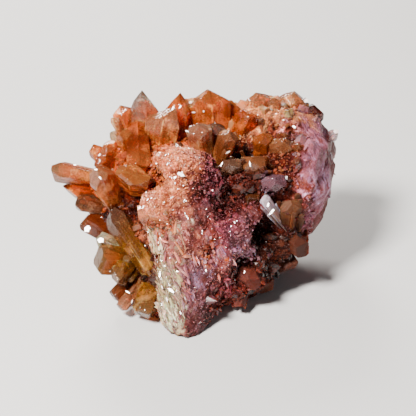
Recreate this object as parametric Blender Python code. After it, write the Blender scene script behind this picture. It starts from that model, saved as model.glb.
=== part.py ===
"""Creedite cluster, a hand specimen 40 mm wide: a broken lump of massive creedite with sprays of
orange prismatic crystals standing on its top, its left side, its hollow and its back.

Millimetres in the values below, metres in the scene. +Z is up, -Y is the broken front, and the
origin is on the flat face that the specimen rests on.
"""

import math
from typing import NamedTuple

import bmesh
import bpy
import numpy as np
from mathutils import Matrix, Vector

MM = 0.001
CLEARANCE = 0.3
FRONT = Vector((0.0, -0.883, 0.469))

# The lump: a ball pressed flat by its broken faces, each a direction and a distance from the middle
LUMP_MIDDLE = np.array((3.5, 3.5, 12.0))
EDGE_SHARPNESS = 20.0
BALL_SUBDIVISIONS = 6
LUMP_KEPT_SHARE = 0.09
BROKEN_FACES = {
    "front left": ((-0.573, -0.797, 0.191), 12.7),
    "front right": ((0.465, -0.873, 0.146), 9.0),
    "under right": ((0.77, -0.30, -0.56), 12.6),
    "under front": ((0.46, -0.42, -0.78), 13.6),
    "right": ((0.97, -0.22, -0.08), 13.2),
    "upper right": ((0.72, 0.10, 0.68), 16.4),
    "top": ((0.0, -0.05, 1.0), 10.2),
    "upper left": ((-0.62, 0.05, 0.78), 14.0),
    "left": ((-0.92, -0.18, -0.34), 15.4),
    "back": ((-0.25, 0.95, 0.15), 11.2),
    "under back": ((0.05, 0.72, -0.69), 13.0),
    "base": ((0.0, 0.0, -1.0), 13.0),
}


class Swell(NamedTuple):
    """A lump on the rock, or a hollow where height is negative. toward is a place on the line from
    the lump's middle to the swell's own middle."""

    toward: tuple
    radius: float
    height: float


SWELLS = {
    "upper mound": Swell((-1.7, -3.5, 21.5), 3.4, 3.4),
    "upper mound crown": Swell((-0.5, -1.0, 22.5), 2.2, 0.9),
    "lower mound": Swell((-5.0, -6.0, 17.0), 3.0, 3.0),
    "groove between mounds": Swell((-4.0, -4.0, 19.2), 1.5, -2.6),
    "lower cheek": Swell((-2.0, -8.0, 13.0), 4.0, 0.8),
    "cream ridge": Swell((-4.0, -11.5, 7.0), 3.0, 1.6),
    "toe": Swell((-2.6, -12.5, 1.6), 3.2, 2.7),
    "toe right": Swell((0.2, -11.5, 0.8), 2.6, 1.5),
    "left groove": Swell((-8.5, -6.0, 8.0), 2.0, -2.6),
    "groove above ridge": Swell((-6.0, -8.0, 8.5), 1.5, -1.4),
    "left hollow": Swell((-9.2, -3.4, 17.2), 2.2, -3.4),
    "left filling": Swell((-13.5, -0.5, 12.5), 2.4, 1.8),
    "crystal bed": Swell((-11.0, 3.0, 19.5), 4.6, 2.6),
    "bed rear": Swell((-6.5, 7.5, 21.0), 4.0, 1.8),
    "middle basin": Swell((4.0, -2.5, 17.0), 5.0, -2.4),
    "deep hollow": Swell((6.5, 2.0, 21.5), 1.9, -3.2),
    "deep hollow arm": Swell((9.5, 4.0, 21.0), 1.7, -2.4),
    "side hollow": Swell((10.0, -2.5, 11.0), 1.9, -2.8),
    "small hollow": Swell((2.5, -2.0, 18.0), 1.0, -1.8),
    "low hollow": Swell((7.0, -6.0, 6.5), 1.3, -1.8),
    "low hollow step": Swell((6.0, -7.0, 4.5), 1.0, -1.4),
    "crystal band": Swell((5.5, 1.0, 21.0), 4.6, -2.6),
    "crystal band end": Swell((11.5, 1.5, 18.5), 4.2, -2.2),
    "rim": Swell((13.0, 14.0, 22.5), 5.5, 1.4),
    "rim left": Swell((6.5, 11.0, 23.5), 3.5, 1.2),
    "right ledge": Swell((17.5, 7.0, 14.5), 5.0, 1.3),
    "back mound": Swell((2.0, 14.0, 11.0), 5.0, 1.4),
    "back hollow": Swell((10.0, 14.5, 12.0), 2.6, -1.8),
}
GROUND_SIZE = 80.0
GRAIN_MIDDLE = 0.62
# Coarse and fine grains of the broken surface: size, height and seed
GRAINS = ((4.6, 2.0, 11), (2.1, 0.8, 31))


class Crystal(NamedTuple):
    """One crystal of a spray: where it starts inside the lump, where its tip is, and its size
    across and from front to back."""

    root: tuple
    tip: tuple
    width: float
    depth: float
    habit: str
    roll: float = 0.0


# A crystal's end: where its summit lies over the section, in half widths, and its faces, each a
# direction round the crystal, a slope away from square, in degrees, and how far out from the
# summit it passes at the summit's height, in half widths
HABITS = {
    "spear": ((0.0, 0.0), ((8, 57, 0.0), (172, 60, 0.0), (95, 50, 0.0), (268, 56, 0.0))),
    "gable": ((0.0, 0.0), ((4, 36, 0.0), (178, 32, 0.0), (92, 58, 0.3), (266, 55, 0.2))),
    "oblique": ((0.45, 0.1), ((198, 33, 0.0), (15, 74, 0.0), (105, 62, 0.2), (285, 58, 0.2))),
    "roof": ((0.0, 0.0), ((90, 42, 0.0), (270, 50, 0.0), (5, 70, 0.5), (180, 74, 0.4))),
    "blunt": ((0.1, 0.2), ((215, 12, 0.0), (80, 48, 0.4), (330, 52, 0.5), (150, 56, 0.6))),
}
ROOT_WIDTH = 0.68
ROOT_START = 0.3
FLAT_WITHIN = 1.0
NEARLY_ALONG = 0.1

SPRAYS = {
    "upper_left_spray": {
        "spear": Crystal((-6.0, 5.0, 16.5), (-7.5, 7.8, 28.1), 4.9, 3.8, "spear", 12),
        "spear left": Crystal((-8.0, 5.5, 17.0), (-10.6, 7.7, 25.7), 3.1, 2.6, "gable", -10),
        "spear bud": Crystal((-8.5, 6.0, 18.0), (-11.8, 5.9, 24.6), 1.4, 1.3, "oblique", 20),
        "facing": Crystal((-8.0, 7.0, 24.0), (-7.4, -3.2, 21.3), 3.8, 3.0, "blunt", 0),
        "slanted": Crystal((-4.5, 3.0, 17.0), (-2.7, 4.8, 26.8), 5.8, 3.8, "oblique", 180),
        "tall right": Crystal((-3.5, 5.0, 16.5), (-2.1, 7.6, 27.8), 4.1, 3.4, "spear", -18),
        "step a": Crystal((-8.0, 4.0, 17.0), (-10.0, 3.3, 23.9), 3.2, 2.8, "roof", 30),
        "step b": Crystal((-8.5, 5.0, 16.0), (-12.7, 2.8, 21.9), 3.2, 2.6, "gable", 20),
        "pale bud": Crystal((-8.5, 6.5, 17.0), (-12.0, 6.4, 22.2), 2.1, 1.8, "oblique", 40),
        "step c": Crystal((-9.0, 4.5, 15.5), (-14.6, 4.0, 21.0), 2.7, 2.3, "roof", 15),
        "step d": Crystal((-9.0, 3.5, 16.0), (-13.7, 0.7, 21.1), 3.0, 2.6, "roof", 15),
        "left blade": Crystal((-9.5, 3.5, 15.5), (-20.1, 0.8, 19.3), 5.0, 3.6, "oblique", 95),
        "left under": Crystal((-10.0, 3.5, 14.0), (-18.8, 2.3, 15.7), 3.8, 3.2, "spear", 0),
        "left frosted": Crystal((-10.5, 1.0, 12.5), (-13.5, -3.5, 21.7), 4.4, 3.4, "spear", 18),
        "left plate": Crystal((-9.0, 1.0, 15.5), (-8.7, -6.4, 21.7), 5.6, 3.4, "blunt", -14),
        "left pink": Crystal((-10.1, 1.6, 12.2), (-16.7, -1.4, 15.0), 4.0, 3.2, "oblique", 70),
        "rear spear": Crystal((-6.0, 5.0, 16.5), (-8.0, 13.6, 21.9), 3.4, 2.8, "spear", 25),
        "rear left": Crystal((-7.5, 5.0, 16.0), (-13.2, 10.0, 17.2), 3.1, 2.5, "roof", 35),
    },
    "lower_left_spray": {
        "long glassy": Crystal((-6.0, -5.0, 6.5), (-11.5, -2.7, 14.7), 3.4, 4.2, "oblique", 100),
        "left shade": Crystal((-8.0, 0.5, 6.0), (-15.7, 1.0, 11.1), 4.0, 3.0, "blunt", 0),
        "left cream": Crystal((-8.0, -0.5, 6.0), (-13.4, -3.0, 9.9), 2.6, 2.3, "blunt", 0),
        "amber pale": Crystal((-7.5, -2.0, 5.5), (-13.4, -5.2, 7.8), 5.0, 3.8, "blunt", 0),
        "amber glass": Crystal((-8.0, -2.5, 6.5), (-10.7, -7.5, 5.6), 3.2, 2.8, "oblique", 0),
        "amber bead": Crystal((-7.5, -2.0, 5.0), (-11.3, -5.9, 2.2), 2.4, 2.2, "blunt", 0),
        "lower rod": Crystal((-6.5, -3.0, 5.0), (-10.3, -8.1, 1.8), 1.9, 1.7, "blunt", 10),
        "lower amber": Crystal((-5.5, -4.0, 5.5), (-7.2, -9.6, 1.8), 3.9, 3.2, "blunt", 30),
        "rear low": Crystal((-6.5, 0.0, 4.5), (-12.1, 3.0, 2.0), 3.1, 2.5, "spear", 15),
    },
    "top_spray": {
        "dome": Crystal((2.5, 6.5, 17.5), (1.8, 9.7, 27.3), 7.0, 5.2, "gable", 10),
        "dome left": Crystal((2.0, 6.0, 18.0), (-0.7, 9.1, 26.2), 3.6, 3.0, "blunt", -10),
        "dome right": Crystal((3.0, 7.5, 17.0), (5.1, 10.8, 25.2), 4.2, 3.4, "gable", 10),
        "orange block": Crystal((4.5, 6.5, 17.0), (7.4, 7.2, 24.9), 3.6, 3.0, "blunt", 20),
        "tan": Crystal((1.3, 3.4, 18.2), (0.4, 2.4, 25.3), 4.1, 3.4, "gable", 5),
        "smoky": Crystal((2.3, 4.8, 17.5), (2.9, 4.2, 24.6), 3.4, 2.9, "gable", 20),
        "bronze": Crystal((2.9, 3.2, 17.8), (4.9, 2.4, 24.2), 3.2, 2.8, "gable", -8),
        "rear dome": Crystal((2.5, 7.5, 17.0), (1.2, 14.8, 24.2), 4.6, 3.8, "spear", 20),
    },
    "rim_spray": {
        "rim a": Crystal((10.5, 12.0, 16.5), (8.7, 12.1, 25.6), 4.2, 3.4, "gable", 10),
        "rim b": Crystal((12.5, 13.5, 15.5), (14.3, 15.0, 24.6), 4.6, 3.6, "gable", 0),
        "rim pale": Crystal((13.0, 13.5, 15.5), (16.0, 14.6, 23.8), 2.0, 1.8, "spear", 0),
        "rim c": Crystal((13.0, 13.5, 15.5), (17.8, 14.8, 22.0), 3.8, 3.2, "blunt", 35),
        "far tip": Crystal((14.0, 14.0, 14.5), (20.8, 14.1, 18.6), 2.3, 2.0, "oblique", 60),
        "rim d": Crystal((11.5, 12.0, 16.5), (11.2, 11.8, 25.0), 3.4, 3.0, "oblique", 80),
        "rim back": Crystal((12.0, 14.5, 15.5), (11.0, 20.5, 20.0), 4.2, 3.4, "spear", 25),
    },
    "hollow_spray": {
        "hollow tan": Crystal((9.5, 4.0, 14.0), (7.7, -0.8, 21.5), 4.3, 3.2, "gable", -20),
        "hollow orange": Crystal((10.0, 6.0, 13.5), (9.5, 4.4, 22.8), 3.2, 2.8, "gable", 15),
        "band tan": Crystal((11.0, 5.5, 13.5), (12.4, 3.6, 22.4), 4.2, 3.4, "gable", 10),
        "lilac": Crystal((10.5, 3.5, 13.5), (11.0, -2.2, 18.9), 4.0, 3.2, "gable", 25),
        "brown centre": Crystal((9.0, 2.5, 13.5), (7.3, -2.8, 16.6), 4.2, 3.4, "spear", 25),
        "red glass": Crystal((8.0, 3.5, 13.0), (4.6, -0.9, 21.2), 3.4, 2.8, "gable", -30),
    },
    "front_right_spray": {
        "white splinter": Crystal((13.0, 0.0, 10.0), (9.5, -3.5, 16.5), 2.5, 1.6, "oblique", 60),
        "brown glass": Crystal((13.0, 1.0, 8.5), (13.3, -1.8, 15.4), 3.6, 3.0, "gable", 20),
        "right low": Crystal((13.0, 4.5, 7.0), (16.0, 0.8, 8.5), 3.4, 3.0, "spear", 10),
        "shade a": Crystal((12.0, 3.0, 8.0), (14.7, -2.8, 8.1), 3.8, 3.2, "blunt", 80),
        "shade b": Crystal((11.0, 2.5, 7.5), (13.6, -1.0, 4.2), 3.6, 3.0, "blunt", 0),
    },
    "low_right_spray": {
        "ledge": Crystal((9.0, 1.0, 4.0), (7.2, -7.0, 5.6), 4.4, 3.4, "gable", 0),
        "toe pink": Crystal((8.0, 0.0, 4.0), (5.9, -7.4, 1.7), 2.2, 2.0, "roof", 30),
        "shade c": Crystal((8.5, 1.5, 3.5), (10.2, -3.0, 2.4), 3.2, 2.8, "blunt", 15),
    },
    "back_spray": {
        "back a": Crystal((3.0, 9.5, 9.5), (-2.6, 18.0, 15.4), 4.0, 3.2, "spear", 10),
        "back b": Crystal((3.5, 9.0, 9.0), (3.6, 19.4, 12.6), 4.4, 3.4, "roof", 40),
        "back c": Crystal((3.0, 9.0, 8.5), (-1.0, 17.8, 8.2), 3.2, 2.8, "oblique", 20),
        "back d": Crystal((4.0, 9.0, 8.5), (8.4, 18.6, 8.0), 3.6, 3.0, "spear", 65),
        "back e": Crystal((3.5, 9.0, 8.0), (2.8, 17.0, 4.4), 2.8, 2.4, "blunt", 25),
        "back f": Crystal((2.5, 8.5, 9.0), (-7.4, 14.4, 10.2), 3.4, 2.8, "oblique", 0),
    },
}

# Small crystals that stand straight on the lump and are one with it
BUD_COUNT = 44
BUD_TRIES = 900
BUD_WIDTH = (1.1, 2.2)
BUD_SEED = 5
BUD_LEAN = 0.55
# A small crystal's parts as shares of its width: radii at its foot and its shoulder, the height of
# its walls and of its point, and how far its middle stands above the rock
BUD_FOOT = 0.62
BUD_SHOULDER = 0.5
BUD_WALLS = 1.5
BUD_POINT = 0.45
BUD_LIFT = 0.12
BUD_ROOM = 1.1
BUD_LOWEST = 2.2
BUD_RIGHTMOST = 0.8

# Colour and roughness of the crystals and of the massive stone
ORANGE = ((0.62, 0.20, 0.06), 0.25)
PINK = ((0.66, 0.30, 0.22), 0.5)


def material(name, colour, roughness):
    """A Principled material of one colour."""
    made = bpy.data.materials.new(name)
    made.use_nodes = True
    shader = made.node_tree.nodes["Principled BSDF"]
    shader.inputs["Base Color"].default_value = (*colour, 1.0)
    shader.inputs["Roughness"].default_value = roughness
    shader.inputs["Metallic"].default_value = 0.0
    return made


def new_object(name, mesh, collection):
    """An object that shows a mesh, in a collection."""
    made = bpy.data.objects.new(name, mesh)
    collection.objects.link(made)
    return made


def mesh_of(name, shape):
    """A mesh from a bmesh, which is freed."""
    mesh = bpy.data.meshes.new(name)
    shape.to_mesh(mesh)
    shape.free()
    return mesh


def chance(cells, seed):
    """One repeatable number from 0 to 1 for each cell of a lattice."""
    with np.errstate(over="ignore"):
        c = cells.astype(np.int64).astype(np.uint32)
        mixed = c[..., 0] * np.uint32(73856093) ^ c[..., 1] * np.uint32(19349663)
        mixed = mixed ^ c[..., 2] * np.uint32(83492791) ^ np.uint32(seed * 2654435761 % 2**32)
        mixed = (mixed ^ (mixed >> np.uint32(15))) * np.uint32(2246822519)
        mixed = (mixed ^ (mixed >> np.uint32(13))) * np.uint32(3266489917)
        mixed = mixed ^ (mixed >> np.uint32(16))
    return mixed.astype(float) / 2**32


def grains(points, size, seed):
    """Height from 0 to about 1 of a mass of grown-together grains: every cell of a lattice holds
    one grain, a box turned at random, and the surface at a point is the highest grain there."""
    scaled = points / size
    home = np.floor(scaled)
    best = np.zeros(len(points))
    for step in np.ndindex(3, 3, 3):
        cell = home + np.array(step) - 1
        heart = cell + np.stack([chance(cell, seed + k) for k in range(3)], axis=-1)
        first = np.stack([chance(cell, seed + k) for k in range(3, 6)], axis=-1) - 0.5
        second = np.stack([chance(cell, seed + k) for k in range(6, 9)], axis=-1) - 0.5
        first /= np.linalg.norm(first, axis=-1, keepdims=True) + 1e-9
        third = np.cross(first, second)
        third /= np.linalg.norm(third, axis=-1, keepdims=True) + 1e-9
        second = np.cross(third, first)
        away = scaled - heart
        across = np.stack([(away * axis).sum(-1) for axis in (first, second, third)], axis=-1)
        reach = 0.75 + 0.45 * chance(cell, seed + 9)
        best = np.maximum(best, reach - np.abs(across).max(-1))
    return best


def broken_ball(directions):
    """Points where the broken faces meet smoothly, one in each direction from the middle."""
    directions = directions / np.linalg.norm(directions, axis=1, keepdims=True)
    normals = np.array([n for n, _ in BROKEN_FACES.values()])
    normals /= np.linalg.norm(normals, axis=1, keepdims=True)
    distances = np.array([d for _, d in BROKEN_FACES.values()])
    facing = np.clip(directions @ normals.T, 0.0, None) / distances
    reach = (facing**EDGE_SHARPNESS).sum(axis=1) ** (-1.0 / EDGE_SHARPNESS)
    return LUMP_MIDDLE + directions * reach[:, None]


def lump_reach(directions):
    """Distance from the lump's middle to its surface in each unit direction: the broken ball, then
    the swells, then the grains."""
    plain = broken_ball(directions)
    reach = np.linalg.norm(plain - LUMP_MIDDLE, axis=1)
    for swell in SWELLS.values():
        middle = broken_ball(np.array([swell.toward]) - LUMP_MIDDLE)
        away = np.linalg.norm(plain - middle, axis=1) / swell.radius
        reach = reach + swell.height * np.exp(-(away**2))
    for size, height, seed in GRAINS:
        reach = reach + height * (grains(plain, size, seed) - GRAIN_MIDDLE)
    return reach


def lump_surface(directions):
    """Points of the lump's surface, in millimetres."""
    return LUMP_MIDDLE + directions * lump_reach(directions)[:, None]


def build_lump():
    """The massive creedite: a ball whose points move out to the surface."""
    shape = bmesh.new()
    bmesh.ops.create_icosphere(shape, subdivisions=BALL_SUBDIVISIONS, radius=1.0)
    directions = np.array([v.co.normalized() for v in shape.verts])
    for vertex, point in zip(shape.verts, lump_surface(directions)):
        vertex.co = point
    return mesh_of("matrix", shape)


def build_ground(workshop):
    """A block whose top is the flat face that the lump rests on."""
    shape = bmesh.new()
    bmesh.ops.create_cube(shape, size=GROUND_SIZE)
    bmesh.ops.translate(shape, verts=shape.verts, vec=(0, 0, -GROUND_SIZE / 2))
    return new_object("ground", mesh_of("ground", shape), workshop)


def frame_on(axis, roll):
    """Rotation whose Z is the axis and whose Y leans to the front, turned by roll about the axis."""
    along = Vector(axis).normalized()
    across = FRONT.cross(along)
    if across.length < NEARLY_ALONG:
        across = Vector((1.0, 0.0, 0.0))
    across.normalize()
    turned = Matrix((across, along.cross(across), along)).transposed().to_4x4()
    return turned @ Matrix.Rotation(math.radians(roll), 4, "Z")


def flatten(shape):
    """Joins the faces that lie in one plane, and points every face out."""
    bmesh.ops.dissolve_limit(
        shape,
        angle_limit=math.radians(FLAT_WITHIN),
        verts=shape.verts,
        edges=shape.edges,
    )
    bmesh.ops.recalc_face_normals(shape, faces=shape.faces)


def crystal_walls(crystal, grow=0.0):
    """A six-sided prism that widens from the crystal's root and ends square beyond its tip. grow
    makes it larger all round, which is how a socket is cut."""
    root = -ROOT_START * crystal.width - grow
    length = crystal_axis(crystal).length + crystal.width - root
    shape = bmesh.new()
    bmesh.ops.create_cone(
        shape, cap_ends=True, segments=6, radius1=ROOT_WIDTH, radius2=1.0, depth=length
    )
    bmesh.ops.translate(shape, verts=shape.verts, vec=(0, 0, root + length / 2))
    wide = (crystal.width / 2 + grow) / math.sin(math.radians(60))
    bmesh.ops.scale(shape, verts=shape.verts, vec=(wide, crystal.depth / 2 + grow, 1))
    return shape


def crystal_axis(crystal):
    return Vector(crystal.tip) - Vector(crystal.root)


def crystal_summit(crystal):
    """Where the crystal's end faces meet, measured from its root in the crystal's own frame."""
    peak = HABITS[crystal.habit][0]
    away = (peak[0] * crystal.width / 2, peak[1] * crystal.depth / 2)
    return Vector((*away, crystal_axis(crystal).length))


def stand(shape, crystal):
    """Turns and moves a crystal so that it runs from its root to its tip."""
    summit = crystal_summit(crystal)
    centred = Matrix.Translation((-summit.x, -summit.y, 0))
    turned = frame_on(crystal_axis(crystal), crystal.roll)
    place = Matrix.Translation(Vector(crystal.root)) @ turned @ centred
    bmesh.ops.transform(shape, matrix=place, verts=shape.verts)


def socket_mesh(crystal):
    """What is cut from the lump for one crystal: its walls, with the clearance round them."""
    shape = crystal_walls(crystal, CLEARANCE)
    stand(shape, crystal)
    bmesh.ops.recalc_face_normals(shape, faces=shape.faces)
    return mesh_of("socket", shape)


def crystal_mesh(crystal):
    """One crystal: its walls, cut by the faces of its habit, which all meet at its summit."""
    shape = crystal_walls(crystal)
    summit = crystal_summit(crystal)
    faces = HABITS[crystal.habit][1]
    for turn, slope, reach in faces:
        a, s = math.radians(turn), math.radians(slope)
        out = (reach * crystal.width / 2 * math.cos(a), reach * crystal.depth / 2 * math.sin(a), 0)
        bmesh.ops.bisect_plane(
            shape,
            geom=shape.verts[:] + shape.edges[:] + shape.faces[:],
            plane_co=summit + Vector(out),
            plane_no=(math.cos(a) * math.sin(s), math.sin(a) * math.sin(s), math.cos(s)),
            clear_outer=True,
        )
    shape.verts.new(summit)
    hull = bmesh.ops.convex_hull(shape, input=shape.verts)
    inside = {v for v in hull["geom_interior"] if isinstance(v, bmesh.types.BMVert)}
    loose = [f for f in shape.faces if f not in set(hull["geom"])]
    bmesh.ops.delete(shape, geom=loose, context="FACES")
    bmesh.ops.delete(shape, geom=list(inside), context="VERTS")
    stand(shape, crystal)
    flatten(shape)
    return mesh_of("crystal", shape)


def boolean(target, operation, other):
    """A Boolean on the target, made part of its mesh at once."""
    step = target.modifiers.new(operation.lower(), "BOOLEAN")
    step.operation = operation
    step.solver = "EXACT"
    step.object = other
    bpy.context.view_layer.update()
    made = bpy.data.meshes.new_from_object(
        target.evaluated_get(bpy.context.evaluated_depsgraph_get())
    )
    target.modifiers.clear()
    target.data = made


def drop_chips(mesh):
    """Removes what the sockets cut free: every island of faces but the largest."""
    shape = bmesh.new()
    shape.from_mesh(mesh)
    unseen = set(shape.verts)
    islands = []
    while unseen:
        island = {unseen.pop()}
        edge = list(island)
        while edge:
            near = {e.other_vert(v) for v in edge for e in v.link_edges} & unseen
            unseen -= near
            island |= near
            edge = list(near)
        islands.append(island)
    islands.sort(key=len)
    for chip in islands[:-1]:
        bmesh.ops.delete(shape, geom=list(chip), context="VERTS")
    flatten(shape)
    shape.to_mesh(mesh)
    shape.free()


def build_spray(name, crystals, finish, parts):
    """One spray: crystals that start close together inside the lump, fused into one solid."""
    spray = None
    for label, crystal in crystals.items():
        mesh = crystal_mesh(crystal)
        if spray is None:
            spray = new_object(name, mesh, parts)
            continue
        other = new_object(f"{name}_{label.replace(' ', '_')}", mesh, parts)
        boolean(spray, "UNION", other)
        bpy.data.objects.remove(other)
    spray.data.materials.clear()
    spray.data.materials.append(finish)
    return spray


def bud_places():
    """Places for the small crystals: points spread over the lump, clear of the sprays, of the
    smooth right side, of the resting face and of each other, each with its lean and its width."""
    rng = np.random.default_rng(BUD_SEED)
    directions = rng.normal(size=(BUD_TRIES, 3))
    directions /= np.linalg.norm(directions, axis=1, keepdims=True)
    feet = lump_surface(directions)
    widths = rng.uniform(*BUD_WIDTH, BUD_TRIES)
    leans = directions + BUD_LEAN * rng.normal(size=(BUD_TRIES, 3))
    leans /= np.linalg.norm(leans, axis=1, keepdims=True)
    rolls = rng.uniform(0, 360, BUD_TRIES)
    kept = []
    for i in range(BUD_TRIES):
        if len(kept) == BUD_COUNT:
            break
        tip = feet[i][2] + min(0.0, leans[i][2]) * (BUD_WALLS + BUD_POINT) * widths[i]
        low = tip < BUD_LOWEST
        if low or directions[i][0] > BUD_RIGHTMOST or near_spray(feet[i], widths[i]):
            continue
        if all(np.linalg.norm(feet[i] - feet[j]) > widths[i] + widths[j] for j in kept):
            kept.append(i)
    return [(feet[i], leans[i], widths[i], rolls[i]) for i in kept]


def near_spray(foot, width):
    """True where a small crystal would touch a crystal of a spray."""
    for crystals in SPRAYS.values():
        for crystal in crystals.values():
            start = np.array(crystal.root)
            way = np.array(crystal.tip) - start
            along = np.clip((foot - start) @ way / (way @ way), 0, 1)
            away = np.linalg.norm(foot - start - along * way)
            if away < crystal.width / 2 + BUD_ROOM * width + 2 * CLEARANCE:
                return True
    return False


def build_buds(workshop):
    """All the small crystals as one mesh of separate four-sided prisms with pointed ends."""
    shape = bmesh.new()
    for foot, lean, width, roll in bud_places():
        made = bmesh.ops.create_cone(
            shape, cap_ends=True, segments=4, radius1=BUD_FOOT * width,
            radius2=BUD_SHOULDER * width, depth=BUD_WALLS * width,
        )["verts"]
        top = [f for f in {f for v in made for f in v.link_faces} if f.normal.z > 0.9]
        point = bmesh.ops.poke(shape, faces=top, offset=BUD_POINT * width)["verts"]
        bud = made + point
        turn = frame_on(lean, roll)
        lift = Matrix.Translation((0, 0, BUD_LIFT * width))
        place = Matrix.Translation(Vector(foot)) @ turn @ lift
        bmesh.ops.transform(shape, matrix=place, verts=bud)
    bmesh.ops.recalc_face_normals(shape, faces=shape.faces)
    return new_object("small_crystals", mesh_of("small_crystals", shape), workshop)


def new_collection(name):
    made = bpy.data.collections.new(name)
    bpy.context.scene.collection.children.link(made)
    return made


def main():
    for obj in list(bpy.data.objects):
        bpy.data.objects.remove(obj)
    parts = new_collection("creedite cluster")
    workshop = new_collection("cutters")
    orange = material("orange_creedite", *ORANGE)
    pink = material("massive_creedite", *PINK)

    matrix = new_object("matrix", build_lump(), parts)
    thin = matrix.modifiers.new("fewer faces", "DECIMATE")
    thin.ratio = LUMP_KEPT_SHARE
    buds = build_buds(workshop)
    boolean(matrix, "UNION", buds)
    bpy.data.objects.remove(buds)

    for name, crystals in SPRAYS.items():
        build_spray(name, crystals, orange, parts)
        for crystal in crystals.values():
            socket = new_object("socket", socket_mesh(crystal), workshop)
            boolean(matrix, "DIFFERENCE", socket)
            bpy.data.objects.remove(socket)
    ground = build_ground(workshop)
    boolean(matrix, "DIFFERENCE", ground)
    bpy.data.objects.remove(ground)
    drop_chips(matrix.data)
    matrix.data.materials.clear()
    matrix.data.materials.append(pink)
    for part in parts.objects:
        part.data.transform(Matrix.Scale(MM, 4))


main()
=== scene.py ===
# %% [markdown]
# # Creedite cluster
# The object is a mineral specimen: a lump of massive, sugary creedite with sprays of orange
# prismatic crystals on it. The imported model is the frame, and it gives every piece its place.
# This script adds what the eye sees: the broken surface, the crystals' faces, thousands of small
# crystals and grains, and the way light goes through them.

# %% The frame
import math
from typing import NamedTuple

import bpy
import numpy as np
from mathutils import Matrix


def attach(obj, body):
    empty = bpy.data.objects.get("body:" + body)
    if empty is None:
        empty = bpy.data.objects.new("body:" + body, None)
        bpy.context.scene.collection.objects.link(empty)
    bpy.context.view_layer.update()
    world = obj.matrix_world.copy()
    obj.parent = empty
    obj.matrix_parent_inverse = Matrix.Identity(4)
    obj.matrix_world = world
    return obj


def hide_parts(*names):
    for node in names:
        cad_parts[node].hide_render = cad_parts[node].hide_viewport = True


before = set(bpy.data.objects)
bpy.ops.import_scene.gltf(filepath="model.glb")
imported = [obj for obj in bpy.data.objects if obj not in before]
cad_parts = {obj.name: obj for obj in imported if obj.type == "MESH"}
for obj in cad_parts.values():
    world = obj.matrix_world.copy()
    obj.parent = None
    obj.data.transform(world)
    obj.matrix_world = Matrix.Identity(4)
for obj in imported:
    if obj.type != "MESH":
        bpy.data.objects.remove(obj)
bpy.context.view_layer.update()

MM = 0.001
print("nodes", sorted(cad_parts))

# %% [markdown]
# ## Camera
# The photograph looks down on the specimen by 28 degrees with a long lens. A camera is a place, a
# direction and a lens: here the distance and the picture's scale are the given values, and the
# lens follows from them, because similar triangles join the four.

# %% Camera
VIEW_ELEVATION = math.radians(28)
VIEW_DISTANCE = 250.0
VIEW_AIM = np.array((1.8, 0.0, 13.4))
PICTURE_WIDTH = 416
PIXELS_PER_MM = 7.125
SENSOR = 36.0


def aim(thing, place, target):
    """Puts an object at a place with its -Z axis towards a target, both in millimetres."""
    from mathutils import Vector

    place, target = Vector(place) * MM, Vector(target) * MM
    thing.location = place
    thing.rotation_mode = "QUATERNION"
    thing.rotation_quaternion = (target - place).to_track_quat("-Z", "Y")


camera = bpy.data.objects.new("camera", bpy.data.cameras.new("camera"))
bpy.context.scene.collection.objects.link(camera)
bpy.context.scene.camera = camera
camera.data.sensor_width = SENSOR
camera.data.lens = SENSOR * VIEW_DISTANCE * PIXELS_PER_MM / PICTURE_WIDTH
camera.data.clip_start = 0.01
back = np.array((0.0, -math.cos(VIEW_ELEVATION), math.sin(VIEW_ELEVATION)))
aim(camera, VIEW_AIM + VIEW_DISTANCE * back, VIEW_AIM)
print(f"lens {camera.data.lens:.0f} mm")

# %% [markdown]
# ## Light
# A specimen is usually lit by one large soft lamp at the upper left, a weaker one from the right
# and a low light from behind that shines through the crystals' tips. Each lamp below has a place
# and a width in millimetres, a power and a colour. Sun lamps would be simpler, but area lamps give
# soft shadows and small bright glints on flat faces.

# %% Light
LAMP_TARGET = (0, 0, 12)
ROOM_COLOUR = (0.86, 0.87, 0.9, 1)
ROOM_STRENGTH = 0.09
LAMPS = {
    "key": ((-150, -170, 280), 90, 4.6, (1.0, 0.97, 0.93)),
    "fill": ((230, -200, 120), 200, 0.08, (0.93, 0.92, 1.0)),
    "through": ((-60, 260, 170), 120, 1.3, (1.0, 0.97, 0.92)),
}
for name, (place, size, power, colour) in LAMPS.items():
    lamp = bpy.data.objects.new(name, bpy.data.lights.new(name, "AREA"))
    lamp.data.shape = "DISK"
    lamp.data.size = size * MM
    lamp.data.energy = power
    lamp.data.color = colour
    bpy.context.scene.collection.objects.link(lamp)
    aim(lamp, place, LAMP_TARGET)

world = bpy.data.worlds.new("studio")
bpy.context.scene.world = world
world.use_nodes = True
world.node_tree.nodes["Background"].inputs["Color"].default_value = ROOM_COLOUR
world.node_tree.nodes["Background"].inputs["Strength"].default_value = ROOM_STRENGTH
print(len(LAMPS), "lamps")

# %% [markdown]
# ## Meshes from arrays
# Every shape below is worked out with numpy as whole arrays of points and handed to the mesh in
# one go. A grid that closes on itself makes a ring or a ball; a list of four corners for each
# small square is the same sum for all of them, so it needs no loop.

# %% Mesh helpers
def unit(vectors):
    """Each vector divided by its own length."""
    return vectors / (np.linalg.norm(vectors, axis=-1, keepdims=True) + 1e-12)


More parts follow.
